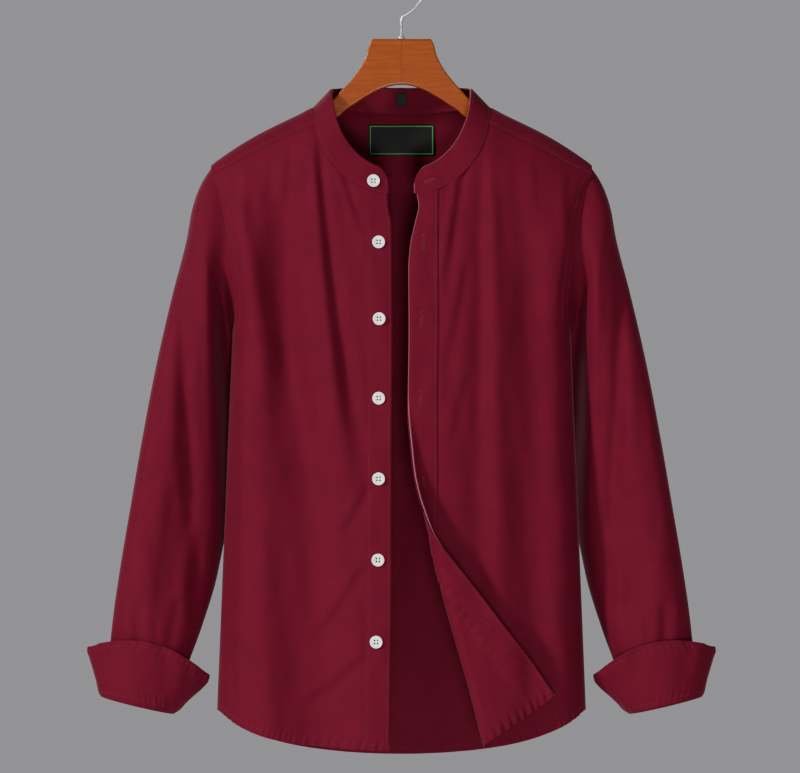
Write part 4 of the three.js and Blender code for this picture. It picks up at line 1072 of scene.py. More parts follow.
def buttonhole(surface, x, z, lift, length=BUTTONHOLE_LENGTH, upright=True):
    """Two rows of close stitches either side of the cut, with a bar across each end."""
    def worked(across, along, stitch):
        a, b = (x + across, z + along) if upright else (x + along, z + across)
        return close_stitches(surface, a, b, lift, **stitch)
    down, bar = np.linspace(-length / 2, length / 2, 30), np.linspace(-BUTTONHOLE_BAR, BUTTONHOLE_BAR, 8)
    rows = [worked(np.full(30, side * BUTTONHOLE_HALF_GAP), down, HOLE_SIDE_STITCH) for side in (-1, 1)]
    return rows + [worked(bar, np.full(8, end * length / 2), HOLE_BAR_STITCH) for end in (-1, 1)]


# Fronts and their bands
def facing_relief(past_seam, z):
    """The band's inner layer, proud of the front's inside, creased where the corner is turned out."""
    rise = -FACING_STEP * (1 - ease(past_seam, 1.0, 2.4))
    for crease in FACING_CREASES:
        along = past_seam + crease["inset"]
        line = (z - crease["z"] - crease["slant"] * along) / crease["width"]
        rise = rise + crease["rise"] * np.exp(-line ** 2 - (along / crease["reach"]) ** 2)
    turned = ease(-z, 590, 650)
    return rise + puckers(z, past_seam + 2, reach=5.0, height=0.6 * turned, wave=11.0)


def front_relief(hand, x, z):
    """Rise of the hem and of the seams round a front, by its flat place."""
    past_seam = x - across_band(hand, z, 1)
    rise = body_hem_relief("front", x, z, front_hem_z(hand, x)) + armhole_relief("front", x, z)
    if hand > 0:
        rise = rise + facing_relief(past_seam, z)
    from_band = np.abs(past_seam - 1.0)
    rise = rise + groove(from_band, 0.25, 2.5) + puckers(z, from_band, reach=6.0, height=0.22)
    yoke_seam = read(YOKE_FRONT_SEAM, "x", "z", x)
    from_yoke = np.where(x > YOKE_FRONT_SEAM[0]["x"] - 4, yoke_seam - z, FAR)
    return rise + puckers(x * 0.8, from_yoke, reach=9.0, height=0.3) - edge_roll(x - front_edge_x(hand, z))


def front_piece(hand, name):
    """A front laid down with its relief, its side seam sunk a little."""
    def place(u, v):
        x, z = flat_front(hand, u, v)
        side_seam = np.where(u > 0.995, 0.6, 0.0)
        laid = raised(FRONT_SURFACES[hand], hand * x, z, front_relief(hand, x, z) - side_seam)
        return laid, flat_cut(hand * x, z)
    return lay(name, GRIDS["front"], place)


def button_drag(across, z):
    """Small creases on a band, slanting away from each button or buttonhole."""
    rise = np.zeros(np.broadcast(across, z).shape)
    for i, button_z in enumerate(BUTTONHOLE_HEIGHTS):
        down = z - button_z
        for turn, (shift, slant) in enumerate(((5.0, 0.9), (-6.5, -0.7), (12.0, 0.5))):
            line = (down - shift - slant * (across - BUTTONHOLE_INSET)) / (2.2 + 0.4 * turn)
            height = (0.34 - 0.05 * ((i + turn) % 3)) * (-1 if turn == 1 else 1)
            rise = rise + height * np.exp(-line ** 2 - ((down - shift) / 11.0) ** 2)
    return rise


def band_relief(hand, across, z):
    """Rise of a band above its front: a rolled edge, sunk stitches, small gathers and the hem."""
    from_seam = band_width(hand, z) - across
    from_stitches = np.minimum(across, from_seam) - BAND_SEAM_STITCH
    gathers = 0.22 if hand < 0 else 0.22 + 0.4 * ease(-z, 560, 640)
    stitched = groove(from_stitches, 0.35, 1.6) + puckers(z, from_stitches, reach=5.0, height=gathers)
    tucked = -0.5 * (1 - ease(from_seam, 0, 1.2))
    x = front_edge_x(hand, z) + across
    hem = 0.5 * hem_relief(z - front_hem_z(hand, x), x)
    return stitched - edge_roll(across) + tucked + button_drag(across, z) + hem


def crowded(share):
    """Shares from 0 to 1 crowded towards both ends."""
    return share - 0.85 * np.sin(2 * math.pi * share) / (2 * math.pi)


def band_piece(hand, name):
    """A band laid on its front, with its columns crowded at both edges."""
    def place(u, v):
        x, z = band_places(hand, crowded(u), v)
        across = crowded(u) * band_width(hand, z)
        laid = raised(FRONT_SURFACES[hand], hand * x, z, BAND_LIFT + band_relief(hand, across, z))
        # The buttonhole band's free edge gets a painted highlight
        return laid, flat_cut(hand * x, z), painted_edge_highlight(across) * (hand > 0)
    return lay(name, GRIDS["band"], place)


def down_band(hand, share, inset):
    """Places down a front, a set distance outwards from a share of its band's width."""
    def line(z):
        return across_band(hand, z, share) + inset
    top = neck_z(line(NECK_POINT_Z - NECK_DROP)) - 2.5
    z = np.linspace(top, front_hem_z(hand, abs(inset)) + 4.0, 400)
    return hand * line(z), z


def front_stitches(hand):
    """Stitches down both edges of the band, along the hem and round the armhole."""
    surface = FRONT_SURFACES[hand]
    proud = CLOTH / 2 + THREAD_LIFT

    def on_band(a, b):
        return BAND_LIFT + band_relief(hand, hand * a - front_edge_x(hand, b), b) + proud

    def on_face(a, b):
        return front_relief(hand, hand * a, b) + proud

    def inside(a, b):
        return front_relief(hand, hand * a, b) - proud

    rows = []
    for share, inset in ((0, BAND_EDGE_STITCH), (1, -BAND_SEAM_STITCH)):
        x, z = down_band(hand, share, inset)
        rows += [row_of_stitches(surface, x, z, on_band), row_of_stitches(surface, x, z, inside)]
    across = np.linspace(front_edge_x(hand, HEM_Z) + 1.0, HEM_HALF - 2, 500)
    hem = front_hem_z(hand, across) + HEM_STITCH
    past_band = across > across_band(hand, HEM_Z, 1)
    for part, lift in ((~past_band, on_band), (past_band, on_face), (slice(None), inside)):
        rows.append(row_of_stitches(surface, hand * across[part], hem[part], lift))
    z = np.linspace(YOKE_FRONT_SEAM[-1]["z"] - 4, UNDERARM_Z + 8, 200)
    arm = read(ARMHOLE, "z", "front", z) - ARMHOLE_STITCH
    rows.append(row_of_stitches(surface, hand * arm, z, on_face))
    return rows


def band_buttonholes():
    """The buttonholes down the band, on its face and showing on its back."""
    rows = []
    for height in BUTTONHOLE_HEIGHTS:
        across = float(front_edge_x(1, height)) + BUTTONHOLE_INSET
        for lift in (BAND_LIFT + CLOTH / 2, -CLOTH / 2 - THREAD_LIFT):
            rows += buttonhole(buttonhole_front, across, height, lift)
    return rows


for hand, side in SIDES:
    band = side.replace("_side", "_band")
    finish_cloth(front_piece(hand, "cloth_front_" + side), "front_" + side, COTTON)
    finish_cloth(band_piece(hand, "cloth_" + band), band, COTTON)
thread_piece("thread_front_button_side", front_stitches(-1))
thread_piece("thread_front_buttonhole_side", front_stitches(1) + band_buttonholes())


# Back and yoke
def back_hem_z(x):
    """Height of the back's hem, a little lower than the front's."""
    return hem_z(x) - mix(*BACK_HEM_DROP, np.minimum(1, np.abs(x) / HEM_HALF) ** 2)


def back_place(u, v):
    """The back from its yoke seam and armholes down to its hem."""
    hand = np.where(u < 0.5, 1.0, -1.0)
    share = np.abs(u - 0.5) * 2
    arm = np.clip((share - BACK_SEAM_SHARE) / (1 - BACK_SEAM_SHARE), 0, 1)
    seam_end = float(read(ARMHOLE, "z", "back", YOKE_SEAM_Z))
    top_z = mix(YOKE_SEAM_Z, UNDERARM_Z, (arm + np.sin(arm * QUARTER)) / 2)
    on_yoke = share <= BACK_SEAM_SHARE
    top_x = np.where(on_yoke, seam_end * share / BACK_SEAM_SHARE, read(ARMHOLE, "z", "back", top_z))
    spread = np.sin(share * QUARTER)
    z = mix(top_z, back_hem_z(HEM_HALF * spread), v)
    across = mix(top_x / edge_x("back", top_z), spread, 1 - (1 - v) ** 3)
    x = hand * across * edge_x("back", z)
    relief = body_hem_relief("back", x, z, back_hem_z(x)) + armhole_relief("back", x, z)
    relief = relief + puckers(x, YOKE_SEAM_Z - z, reach=8.0, height=0.35)
    under_yoke = np.where(z > YOKE_SEAM_Z - 3, 0.5, 0.0)
    return raised(back_surface, -x, z, relief - under_yoke), flat_cut(x, z)


finish_cloth(lay("cloth_back", GRIDS["back"], back_place), "back", COTTON)


def yoke_line(u):
    """Where the yoke's first edge runs, along the front seams and the neck: x and turn over the shoulder."""
    from_end = np.minimum(u, 1 - u)
    hand = np.where(u < 0.5, -1.0, 1.0)
    neck_start = FRONT_SHARE * (1 - YOKE_NECK_ANGLE / NECK_END_TURN)
    seam_x = mix(SHOULDER_X - 0.2, YOKE_FRONT_SEAM[0]["x"], np.clip(from_end / YOKE_FRONT_PART, 0, 1))
    seam_turn = -turn_at("front", seam_x, read(YOKE_FRONT_SEAM, "x", "z", seam_x) - 0.8)
    along = mix(neck_start, 1 - neck_start, np.clip((u - YOKE_FRONT_PART) / (1 - 2 * YOKE_FRONT_PART), 0, 1))
    _, side, point = neck_seam(along)
    neck_turn = np.where(side > 0, -turn_at("front", point[:, 0], point[:, 2]),
                         turn_at("back", point[:, 0], point[:, 2]))
    on_seam = from_end < YOKE_FRONT_PART
    return np.where(on_seam, hand * seam_x, point[:, 0]), np.where(on_seam, seam_turn, neck_turn)


def yoke_surface(x, turn):
    """The shoulders by x and turn: negative in front of the shoulder line, positive behind it."""
    front = over_shoulder("front", x, np.maximum(-turn, 0))
    behind = over_shoulder("back", x, np.maximum(turn, 0))
    return np.where((turn < 0)[..., None], front, behind)


def off_yoke(surface):
    """The directions in which the yoke faces at points of its surface."""
    return unit(surface - points(surface[..., 0] * 0.72, 0, surface[..., 2] - 40))


def yoke_place(u, v):
    """The yoke from its front seams and the neck, over the shoulders, to its back seam."""
    start_x, start_turn = yoke_line(u)
    end_x = mix(-1, 1, u) * (SHOULDER_X - 0.4)
    end_turn = turn_at("back", end_x, np.full(np.shape(end_x), YOKE_SEAM_Z - 1.0))
    x, turn = mix(start_x, end_x, v), mix(start_turn, end_turn, v)
    surface = yoke_surface(x, turn)
    from_front = np.where(np.minimum(u, 1 - u) < YOKE_FRONT_PART, v * 60, FAR)
    edge = np.minimum(from_front, (1 - v) * 70)
    relief = YOKE_LIFT + groove(edge - 5, 0.3, 2.2) + puckers(x, edge - 3, reach=7.0, height=0.28)
    from_armhole = np.abs(np.abs(x) - read(ARMHOLE, "z", "front", surface[..., 2]))
    relief = relief + 0.25 * (1 - ease(from_armhole, 6.5, 9.5))
    return surface + off_yoke(surface) * relief[..., None], flat_cut(x, NECK_POINT_Z + 2 - turn * 70)


finish_cloth(lay("cloth_yoke", GRIDS["yoke"], yoke_place), "yoke", COTTON)


def yoke_row(x, turn):
    """A row of stitches on the yoke by x and turn."""
    surface = yoke_surface(x, turn)
    out = off_yoke(surface)
    path = surface + out * (YOKE_LIFT + CLOTH / 2)
    return row_on_path(path, path + out)


def body_seam_rows():
    """Stitches of the yoke's seams, of the back's hem and armholes, and of the side seams."""
    front_x = np.linspace(YOKE_FRONT_SEAM[0]["x"] + 1, SHOULDER_X - 3, 120)
    front_turn = -turn_at("front", front_x, read(YOKE_FRONT_SEAM, "x", "z", front_x)) + 0.045
    back_x = np.linspace(-SHOULDER_X + 3, SHOULDER_X - 3, 300)
    back_turn = turn_at("back", back_x, np.full(300, YOKE_SEAM_Z)) - 0.06
    rows = [yoke_row(-front_x, front_turn), yoke_row(front_x, front_turn), yoke_row(back_x, back_turn)]
    across = np.linspace(-HEM_HALF + 2, HEM_HALF - 2, 400)
    hem = back_hem_z(across) + HEM_STITCH
    for lift in (CLOTH / 2 + THREAD_LIFT, -CLOTH / 2 - 0.25):
        rows.append(row_of_stitches(back_surface, across, hem, lift))
    arm_z = np.linspace(YOKE_SEAM_Z - 4, UNDERARM_Z + 8, 180)
    arm_x = read(ARMHOLE, "z", "back", arm_z) - ARMHOLE_STITCH
    side_z = np.linspace(UNDERARM_Z - 6, float(hem_z(HEM_HALF)) + 2, 200)
    seam_x = half_width("back", side_z) * 0.9985
    for hand in (-1, 1):
        rows.append(row_of_stitches(back_surface, hand * arm_x, arm_z, CLOTH / 2 + 0.15))
        rows.append(row_of_stitches(back_surface, hand * seam_x, side_z, CLOTH / 2 + 0.05))
    return rows


thread_piece("thread_back_and_yoke", body_seam_rows())


# Collar
def collar_point(along, up):
    """The collar's surface by its share along the neck and its share of the height."""
    hand, turn, point = neck_seam(along)
    end = np.maximum(0, turn / NECK_END_TURN)
    inward = 0.69 * (1 - end ** 2.5) * np.maximum(0, np.cos(np.minimum(0, turn)))
    backward = np.where(turn > 0, 0.22, 0.28) * np.sin(turn)
    upward = np.sqrt(np.maximum(0.1, 1 - inward ** 2 - backward ** 2))
    lean = points(-hand * inward, backward, upward)
    from_end = np.where(turn > 0, (NECK_END_TURN - turn) / NECK_END_TURN, 1) * COLLAR_FRONT_LENGTH
    rounding = np.maximum(0, COLLAR_END_RADIUS - from_end)
    round_end = np.sqrt(np.maximum(0, COLLAR_END_RADIUS ** 2 - rounding ** 2))
    height = COLLAR_HEIGHT - COLLAR_END_RADIUS + round_end
    foot = 3.0 * np.maximum(0, 1 - from_end / 4.0) ** 2 - 0.6
    return point + lean * mix(foot, height, up)[..., None]


def collar_face(a, b):
    """The collar in millimetres up its face, and along it from the viewer's right to the left."""
    return collar_point(np.clip(1 - a / COLLAR_LENGTH, 0, 1), np.clip(b / COLLAR_HEIGHT, -0.2, 1.2))


def collar_place(u, v):
    """The collar from end to end and from its top to its foot."""
    along, up = crowded(u), 1 - crowded(v)
    ends = np.minimum(along, 1 - along) * COLLAR_LENGTH
    free_edge = np.minimum(ends, (1 - up) * COLLAR_HEIGHT)
    from_stitches = np.minimum(free_edge, up * COLLAR_HEIGHT + 1.5) - COLLAR_STITCH
    gathers = puckers(along * COLLAR_LENGTH, from_stitches, reach=4.0, height=0.16)
    waves = (0.5 * np.sin(along * 31) + 0.35 * np.sin(along * 57 + 1)) * up * ease(ends, 10, 60)
    lift = COLLAR_LIFT + groove(from_stitches, 0.3, 1.5) + gathers - edge_roll(free_edge) + waves
    side = collar_point(np.clip(along + 0.002, 0, 1), up) - collar_point(np.clip(along - 0.002, 0, 1), up)
    height = collar_point(along, up + 0.05) - collar_point(along, up - 0.05)
    laid = collar_point(along, up) + unit(np.cross(height, side)) * lift[..., None]
    # The buttonhole side's half of the collar gets a painted highlight along its free edge
    edge_highlight = painted_edge_highlight(free_edge) * ease(along, 0.52, 0.6)
    return laid, flat_cut(along * COLLAR_LENGTH, up * COLLAR_HEIGHT), edge_highlight


finish_cloth(lay("cloth_collar", GRIDS["collar"], collar_place), "collar", COTTON, thickness=FOLDED_CLOTH)


def collar_rows():
    """Stitches along the collar's top and its seam, on both faces, and the buttonhole at its end."""
    rows = []
    face = COLLAR_LIFT + FOLDED_CLOTH / 2
    for lift in (face, COLLAR_LIFT - FOLDED_CLOTH / 2 - THREAD_LIFT):
        top, foot = np.linspace(24, COLLAR_LENGTH - 24, 500), np.linspace(4, COLLAR_LENGTH - 4, 500)
        rows.append(row_of_stitches(collar_face, top, np.full(500, COLLAR_HEIGHT - COLLAR_STITCH), lift))
        rows.append(row_of_stitches(collar_face, foot, np.full(500, COLLAR_SEAM_STITCH), lift))
    hole = buttonhole(collar_face, COLLAR_HOLE["along"], COLLAR_HOLE["up"], face, COLLAR_HOLE["length"],
                      upright=False)
    return rows + hole


thread_piece("thread_collar", collar_rows())


# Sleeves
def armhole_ring(turn):
    """The ring where a sleeve is set in, just inside the armhole's edges."""
    top = ARMHOLE[0]["z"]
    z = (top + UNDERARM_Z) / 2 + (top - UNDERARM_Z) / 2 * np.cos(turn)
    ring = []
    for side, inwards in (("front", 1.1), ("back", -1.1)):
        at = on_torso(side, read(ARMHOLE, "z", side, z), z)
        up = 0.6 * np.maximum(0, np.cos(turn)) ** 6
        ring.append(at + points(-2.5 + 0 * z, inwards * np.abs(np.sin(turn)), up))
    return np.where((np.sin(turn) >= 0)[..., None], ring[0], ring[1])


def sleeve_point(along, turn):
    """The sleeve's surface by its share from the armhole to the cuff and its turn round the arm."""
    at = {key: read(SLEEVE, "at", key, along) for key in SLEEVE[0] if key != "at"}
    across = (1 + np.cos(turn)) / 2
    front = np.sin(turn) >= 0
    x = mix(at["inX"], at["outX"], across)
    y = mix(at["inY"], 0, across) - np.where(front, at["front"], at["back"]) * np.sin(turn)
    z = mix(at["inZ"], at["outZ"], across)
    share = np.sqrt(np.maximum(0, np.abs(np.sin(turn))))
    behind = 0.6 * fold_rise(SLEEVE_FOLDS, x + 8, z + 30)
    rise = np.where(front, fold_rise(SLEEVE_FOLDS, x, z), behind) * share
    rise = rise + unevenness(x * 1.4 + np.where(front, 0, 60), z) * ease(along, 0.05, 0.2) * share
    section = points(x, y - np.where(front, rise, -rise), z)
    return mix(armhole_ring(turn), section, ease(along, 0, 0.13)[..., None])


def sleeve_piece(hand, name):
    """A sleeve laid round the arm, puckered at its cap and gathered at the wrist."""
    def place(u, v):
        turn = u * 2 * math.pi
        from_cap = v * SLEEVE_LENGTH
        gathers = 0.7 * np.sin(u * 96 + 2 * np.sin(u * 11)) * np.exp(-((1 - v) * SLEEVE_LENGTH / 30) ** 2)
        puckered = puckers(turn * SLEEVE_TOP_RADIUS, from_cap, reach=9.0, height=0.45)
        ridge = -groove(from_cap - 11, 0.9, 7.0)
        side = sleeve_point(v, turn + 0.02) - sleeve_point(v, turn - 0.02)
        down = sleeve_point(np.minimum(v + 0.004, 1), turn) - sleeve_point(np.maximum(v - 0.004, 0), turn)
        relief = gathers + (puckered + ridge) * ease(from_cap, 0, 3)
        laid = sleeve_point(v, turn) + unit(np.cross(down, side)) * relief[..., None]
        width = mix(SLEEVE_TOP_WIDTH, SLEEVE_WRIST_WIDTH, v)
        return laid * (hand, 1, 1), flat_cut((u - 0.5) * width * hand, -from_cap)
    return lay(name, GRIDS["sleeve"], place, closed=True)


for hand, side in SIDES:
    finish_cloth(sleeve_piece(hand, "cloth_sleeve_" + side), "sleeve_" + side, COTTON)


# Cuffs
def cuff_point(u, row):
    """Row 0 to 3 turn round the fold, and 3 to 4 climb to the open edge."""
    rise = np.clip(row - 3, 0, 1)
    opening = mix(CUFF["foldOpening"], CUFF["rimOpening"], rise)
    turn = QUARTER + CUFF["openingTurn"] * rise * 0.3 + (u - 0.5) * 2 * (math.pi - opening)
    cos, sin = np.cos(turn), np.sin(turn)
    out = read(CUFF_TURN, "row", "out", np.minimum(row, 3))
    lift = read(CUFF_TURN, "row", "up", np.minimum(row, 3))
    half = mix(CUFF["foldHalf"] + out, CUFF["rimHalf"], rise) - 3.2 * np.maximum(0, (rise - 0.82) / 0.18) ** 2
    depth = mix(CUFF["foldDepth"] + out, CUFF["rimDepth"], rise)
    up = lift * (1 - rise) + np.where(sin > 0, CUFF["rimArch"], CUFF["rimArchBehind"]) * rise * sin * sin
    tilt_cos, tilt_sin = math.cos(CUFF["tilt"]), math.sin(CUFF["tilt"])
    x = mix(CUFF["foldX"], CUFF["rimX"], rise) + half * cos * tilt_cos - up * tilt_sin
    z = mix(CUFF["foldZ"], CUFF["rimZ"], rise) + half * cos * tilt_sin + up * tilt_cos
    return points(x, -depth * sin, z)


def cuff_surface(u, row, lift):
    """Points lifted off the cuff's surface."""
    side = cuff_point(u + 0.004, row) - cuff_point(u - 0.004, row)
    up = cuff_point(u, row + 0.02) - cuff_point(u, row - 0.02)
    return cuff_point(u, row) + unit(np.cross(up, side)) * np.asarray(lift)[..., None]


def cuff_relief(u, row):
    """Rise of a cuff: stitches sunk near its edges, gathers along them, soft waves and creases."""
    rise = np.clip(row - 3, 0, 1)
    run = u * CUFF_EDGE_RUN
    from_edge = np.minimum((1 - rise) * CUFF_HEIGHT, np.minimum(u, 1 - u) * CUFF_EDGE_RUN) - CUFF_STITCH
    stitched = groove(from_edge, 0.5, 2.0) + puckers(run, from_edge, reach=8.0, height=0.75, wave=12.0)
    from_fold_row = rise * CUFF_HEIGHT - CUFF_FOLD_STITCH
    turned = puckers(run + 40, from_fold_row, reach=9.0, height=0.8, wave=13.0) * ease(row, 2.4, 3.2)
    waves = 1.3 * np.sin(u * 17 + 1) + 0.8 * np.sin(u * 41) + 0.6 * np.sin(u * 67 + 4 * rise)
    return rise * (stitched + waves) + turned


def cuff_piece(hand, name):
    """A turned-back cuff, from the inside of its fold to its open edge."""
    def place(u, v):
        in_fold, climb = v / CUFF_FOLD_SHARE, (v - CUFF_FOLD_SHARE) / (1 - CUFF_FOLD_SHARE)
        row = np.where(in_fold < 1, in_fold * 3, 3 + climb)
        laid = cuff_surface(u, row, cuff_relief(u, row)) * (hand, 1, 1)
        return laid, flat_cut((u - 0.5) * CUFF_WIDTH * hand, np.clip(row - 3, 0, 1) * CUFF_HEIGHT)
    piece = lay(name, GRIDS["cuff"], place)
    face_outwards(piece.data)
    return piece


def face_outwards(mesh):
    """Turns an open mesh so that its faces look away from its own middle."""
    centre = Vector(np.mean([vertex.co for vertex in mesh.vertices], axis=0))
    outward = sum((face.center - centre).dot(face.normal) * face.area for face in mesh.polygons)
    if outward < 0:
        mesh.flip_normals()


def cuff_rows(hand):
    """Stitches on both faces of a cuff: by its open edge, by its fold and beside its opening."""
    by_edge = (np.linspace(0.03, 0.97, 200), np.full(200, 4 - CUFF_STITCH / CUFF_HEIGHT))
    by_fold = (np.linspace(0.02, 0.98, 200), np.full(200, 3 + CUFF_FOLD_STITCH / CUFF_HEIGHT))
    by_opening = [(np.full(60, u), np.linspace(3.1, 3.9, 60)) for u in (0.024, 0.976)]
    rows = []
    for u, row in (by_edge, by_fold, *by_opening):
        for side in (1, -1):
            lift = cuff_relief(u, row) + side * (FOLDED_CLOTH / 2 + THREAD_LIFT)
            path, above = cuff_surface(u, row, lift), cuff_surface(u, row, lift + side)
            rows.append(row_on_path(path * (hand, 1, 1), above * (hand, 1, 1)))
    return rows


for hand, side in SIDES:
    finish_cloth(cuff_piece(hand, "cloth_cuff_" + side), "cuff_" + side, COTTON, thickness=FOLDED_CLOTH)
    thread_piece("thread_cuff_" + side, cuff_rows(hand))


# Buttons
def turned(name, profile, steps, closed=False):
    """A shape turned round the Z axis from a profile of radii and heights."""
    bm = bmesh.new()
    verts = [bm.verts.new((radius * MM, 0, height * MM)) for radius, height in profile]
    for a, b in zip(verts, verts[1:] + (verts[:1] if closed else [])):
        bm.edges.new((a, b))
    bmesh.ops.spin(bm, geom=bm.verts[:] + bm.edges[:], cent=(0, 0, 0), axis=(0, 0, 1), angle=2 * math.pi,
                   steps=steps, use_merge=True)
    bmesh.ops.remove_doubles(bm, verts=bm.verts, dist=0.01 * MM)
    bmesh.ops.recalc_face_normals(bm, faces=bm.faces)
    return mesh_of(name, bm)


def button_shape():
    """A turned resin button: raised rim, dished face and four holes drilled through it."""
    bm = bmesh.new()
    radius = HOLE_RADIUS * MM
    for x in (-HOLE_OFF, HOLE_OFF):
        for y in (-HOLE_OFF, HOLE_OFF):
            place = Matrix.Translation((x * MM, y * MM, 0))
            bmesh.ops.create_cone(bm, cap_ends=True, segments=14, radius1=radius, radius2=radius,
                                  depth=8 * MM, matrix=place)
    drill = new_object("button drill", mesh_of("button drill", bm, smooth=False))
    blank = new_object("button blank", turned("button blank", BUTTON_PROFILE, steps=40))
    cut = blank.modifiers.new("holes", "BOOLEAN")
    cut.operation, cut.solver, cut.object = "DIFFERENCE", "EXACT", drill
    return evaluated_mesh(blank, drill)


BUTTON_SHAPE = button_shape()


def sew_on(name, pose):
    """Sets one button at a pose whose Z looks out of the cloth, and gives its two bars of thread."""
    mesh = BUTTON_SHAPE.copy()
    mesh.name = "shape_" + name
    mesh.transform(pose)
    dress(new_object("resin_" + name, mesh), BUTTON_RESIN, name)
    turn = np.array(pose.to_3x3())
    origin = np.array(pose.translation) / MM
    middles = np.array([origin + turn @ (side, 0, BUTTON_THREAD_HEIGHT) for side in (-HOLE_OFF, HOLE_OFF)])
    along, normals = np.tile(turn[:, 1], (2, 1)), np.tile(turn[:, 2], (2, 1))
    return stitch_row(middles, along, normals, **BUTTON_THREAD)


def pose_on(surface, a, b, lift):
    """A pose on a surface, with Z looking out of it and X running right."""
    here, below = (raised(surface, np.array([a]), np.array([b]), height)[0] for height in (lift, lift - 1.0))
    z = Vector(here - below).normalized()
    x = (Vector((1, 0, 0)) - z * z.x).normalized()
    turn = Matrix((x, z.cross(x), z)).transposed().to_4x4()
    return Matrix.Translation(Vector(here) * MM) @ turn


button_rows = []
for button in BUTTON_PLACES:
    on_band = pose_on(button_front, button["x"], button["z"], BAND_LIFT + CLOTH / 2 + THREAD_LIFT)
    button_rows.append(sew_on(button["name"], on_band))
on_collar = pose_on(
    collar_face, COLLAR_LENGTH * (1 - COLLAR_BUTTON["along"]), COLLAR_HEIGHT * COLLAR_BUTTON["up"],
    COLLAR_LIFT + FOLDED_CLOTH / 2 + THREAD_LIFT)
button_rows.append(sew_on("button_1", on_collar))
thread_piece("thread_buttons", button_rows, WHITE_THREAD)


# Labels
def label_surface(a, b):
    """The neck label by millimetres from its middle, puffed a little where its edges are sewn down."""
    width, height = NECK_LABEL["width"], NECK_LABEL["height"]
    a, b = np.clip(a, -width / 2, width / 2), np.clip(b, -height / 2, height / 2)
    x, z = NECK_LABEL["x"] + a, NECK_LABEL["z"] + b
    puff = 0.5 * np.cos(math.pi * a / width) * np.cos(math.pi * b / height)
    return over_shoulder("back", x, turn_at("back", x, z)) + points(0 * x, -1.3 - puff, 0 * x)


def label_place(u, v):
    """The neck label over its whole width and height."""
    a, b = (u - 0.5) * NECK_LABEL["width"], (0.5 - v) * NECK_LABEL["height"]
    return label_surface(a, b), flat_cut(a, b)


def tab_place(u, v):
    """The size tab, hanging inside the collar at the centre back."""
    along = mix(0.5 - SIZE_TAB["halfShare"], 0.5 + SIZE_TAB["halfShare"], u)
    up = mix(SIZE_TAB["high"], SIZE_TAB["low"], v)
    laid = collar_point(along, up) + points(0 * u, -1.4 - 0.5 * v, 0 * u)
    return laid, flat_cut((u - 0.5) * SIZE_TAB["width"], (0.5 - v) * SIZE_TAB["height"])


def label_rows():
    """Stitches along the label's four edges."""
    wide, high = NECK_LABEL["width"] / 2 - LABEL_STITCH_INSET, NECK_LABEL["height"] / 2 - LABEL_STITCH_INSET
    edges = (((-wide, wide), (high, high)), ((-wide, wide), (-high, -high)), ((-wide, -wide), (-high, high)),
             ((wide, wide), (-high, high)))
    return [row_of_stitches(label_surface, np.linspace(*a, 80), np.linspace(*b, 80), lift=0.3, pitch=2.8,
                            width=0.4, length=2.2) for a, b in edges]


finish_cloth(lay("satin_neck_label", GRIDS["label"], label_place), "neck_label", LABEL_SATIN, thickness=0.5)
finish_cloth(lay("satin_size_label", GRIDS["tab"], tab_place), "size_label", TAB_SATIN, thickness=0.6)
thread_piece("thread_neck_label", label_rows(), BLACK_THREAD)


# Hanger
def arm_top(x):
    """Height of the wooden arm's upper edge, just under the cloth of the shoulder."""
    return float(shoulder_z(x)) - float(mix(6.5, 3.0, ease(x, WOOD_NECK_X, 130)))


def hanger_outline():
    """Half of the hanger's outline, from the top of its middle round the arm's end and back below."""
    middle = [(0, WOOD_TOP_Z), (WOOD_TOP_HALF, WOOD_TOP_Z), (36.8, -97.8), (40.8, -112), (47.4, -125),
              (55.4, -136.5), (66.7, -149.4), (77, -160.5), (88, -169.3)]
    arm = [(x, arm_top(x)) for x in (WOOD_NECK_X, 116, 130, 147, 164, 177, 190, 203)]
    end = [(x, arm_top(203) - drop) for x, drop in ((207.4, 4), (208, 8), (205, 16))]
    drops = ((190, 18), (164, 19.5), (130, 21), (WOOD_NECK_X, 22.5))
    under_arm = [(x, arm_top(x) - drop) for x, drop in drops]
    under_middle = [(72, -181.5), (63.5, -174), (52, -166.5), (36, -156.5), (20, -149), (7, -145.6),
                    (0, -145.2)]
    return middle + arm + end + under_arm + under_middle


def curve_mesh(name, path, corners=(), **settings):
    """The mesh of a curve with these settings through a path of x and z, smooth but at its corners."""
    curve = bpy.data.curves.new(name, "CURVE")
    for key, value in settings.items():
        setattr(curve, key, value)
    spline = curve.splines.new("BEZIER")
    spline.bezier_points.add(len(path) - 1)
    for knot, (x, z) in zip(spline.bezier_points, path):
        knot.co = (x * MM, z * MM, 0)
        knot.handle_left_type = knot.handle_right_type = "VECTOR" if (x, z) in corners else "AUTO"
    spline.use_cyclic_u = settings["dimensions"] == "2D"
    mesh = evaluated_mesh(new_object(name, curve))
    mesh.transform(Matrix.Rotation(QUARTER, 4, "X"))
    return mesh


def hanger_mesh():
    """The hanger's outline as a plate with rounded edges, cornered at its top and under its neck."""
    half = hanger_outline()
    whole = half + [(-x, z) for x, z in reversed(half[1:-1])]
    arm_start = (WOOD_NECK_X, arm_top(WOOD_NECK_X))
    corners = [(x, z) for x, z in whole
               if abs(x) == WOOD_TOP_HALF or abs(x) == arm_start[0] and z < arm_start[1]]
    mesh = curve_mesh("hanger arms", whole, corners, dimensions="2D", fill_mode="BOTH", resolution_u=8,
                      extrude=(ARM_THICKNESS / 2 - ARM_EDGE) * MM, bevel_depth=ARM_EDGE * MM,
                      bevel_resolution=5, offset=-ARM_EDGE * MM)
    mesh.polygons.foreach_set("use_smooth", [True] * len(mesh.polygons))
    mesh.set_sharp_from_angle(angle=math.radians(40))
    return mesh


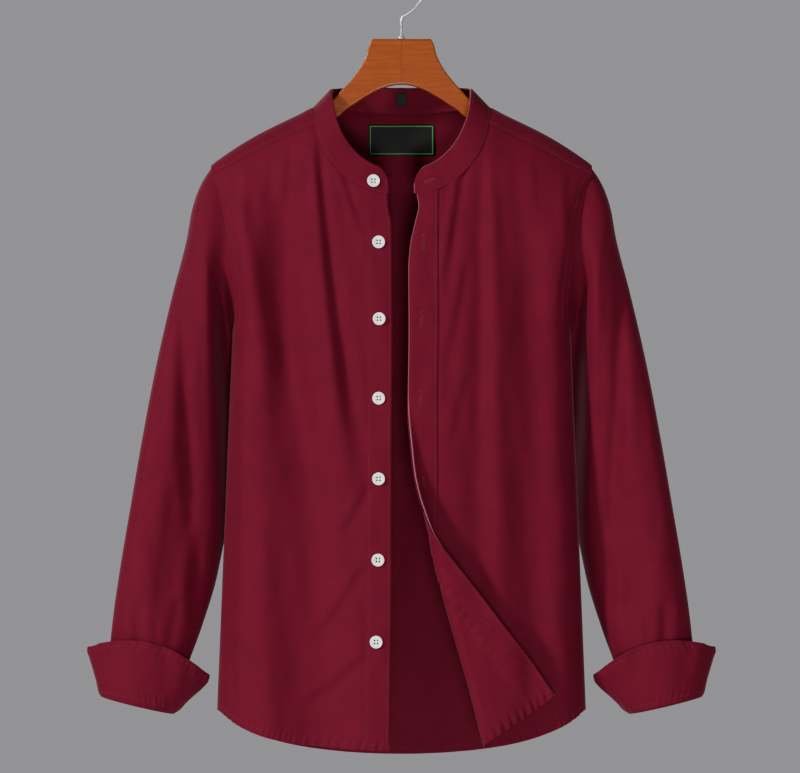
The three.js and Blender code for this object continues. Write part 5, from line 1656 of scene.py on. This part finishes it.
def hook_mesh():
    """The hook's wire, with a rounded end."""
    bend = [(HOOK_RADIUS * math.sin(math.radians(turn)),
             HOOK_WIRE - HOOK_RADIUS + HOOK_RADIUS * math.cos(math.radians(turn))) for turn in HOOK_BEND]
    mesh = curve_mesh("hook wire", [*HOOK_STEM, *bend], dimensions="3D", resolution_u=10,
                      bevel_depth=HOOK_WIRE * MM, bevel_resolution=5, use_fill_caps=True)
    bm = bmesh.new()
    bm.from_mesh(mesh)
    end = Matrix.Translation((bend[-1][0] * MM, 0, bend[-1][1] * MM))
    bmesh.ops.create_uvsphere(bm, u_segments=16, v_segments=10, radius=HOOK_WIRE * 1.02 * MM, matrix=end)
    return mesh_of("hook wire with end", bm)


def ferrule_mesh():
    """The small turned ferrule that closes the wood round the wire."""
    profile = [(radius, FERRULE_FOOT_Z + height) for radius, height in FERRULE_PROFILE]
    mesh = turned("hook ferrule", profile, steps=32, closed=True)
    mesh.set_sharp_from_angle(angle=math.radians(40))
    return mesh


dress(new_object("beech_hanger", hanger_mesh()), BEECH, "hanger_arms")
dress(new_object("nickel_hook", hook_mesh()), NICKEL, "hanger_hook")
dress(new_object("nickel_ferrule", ferrule_mesh()), NICKEL, "hook_ferrule")

# Studio: a pale floor, a soft key from the upper left, three fainter lights and grey surroundings
bm = bmesh.new()
bmesh.ops.create_grid(bm, x_segments=1, y_segments=1, size=FLOOR_HALF * MM)
bmesh.ops.translate(bm, vec=(0, 0, FLOOR_Z * MM), verts=bm.verts)
floor = new_object("floor", mesh_of("floor", bm, smooth=False))
floor_paint, _, _ = new_material("matt pale studio floor", Roughness=0.9, Base_Color=linear("#cfcfd2"))
floor.data.materials.append(floor_paint)

world = bpy.data.worlds.new("studio")
bpy.context.scene.world = world
world.use_nodes = True
surroundings = next(n for n in world.node_tree.nodes if n.type == "BACKGROUND")
surroundings.inputs["Color"].default_value = linear("#98979c")
surroundings.inputs["Strength"].default_value = 1.0


def soft_light(name, place, aim, size, power):
    """A round area light of a size and power, looking at its aim."""
    lamp = bpy.data.lights.new(name, "AREA")
    lamp.shape, lamp.size, lamp.energy = "DISK", size, power
    thing = new_object(name, lamp)
    thing.location = place
    thing.rotation_euler = (Vector(aim) - Vector(place)).to_track_quat("-Z", "Y").to_euler()


for light in LIGHTS:
    soft_light(**light)

# Camera: level, square to the front, far enough for almost parallel sight lines
camera = bpy.data.cameras.new("camera")
camera.sensor_width = SENSOR_WIDTH
camera.lens = SENSOR_WIDTH * -CAMERA_PLACE[1] / PICTURE_WIDTH
camera.clip_end = 60.0
eye = new_object("camera", camera)
eye.location = Vector(CAMERA_PLACE) * MM
eye.rotation_euler = (QUARTER, 0, 0)
bpy.context.scene.camera = eye
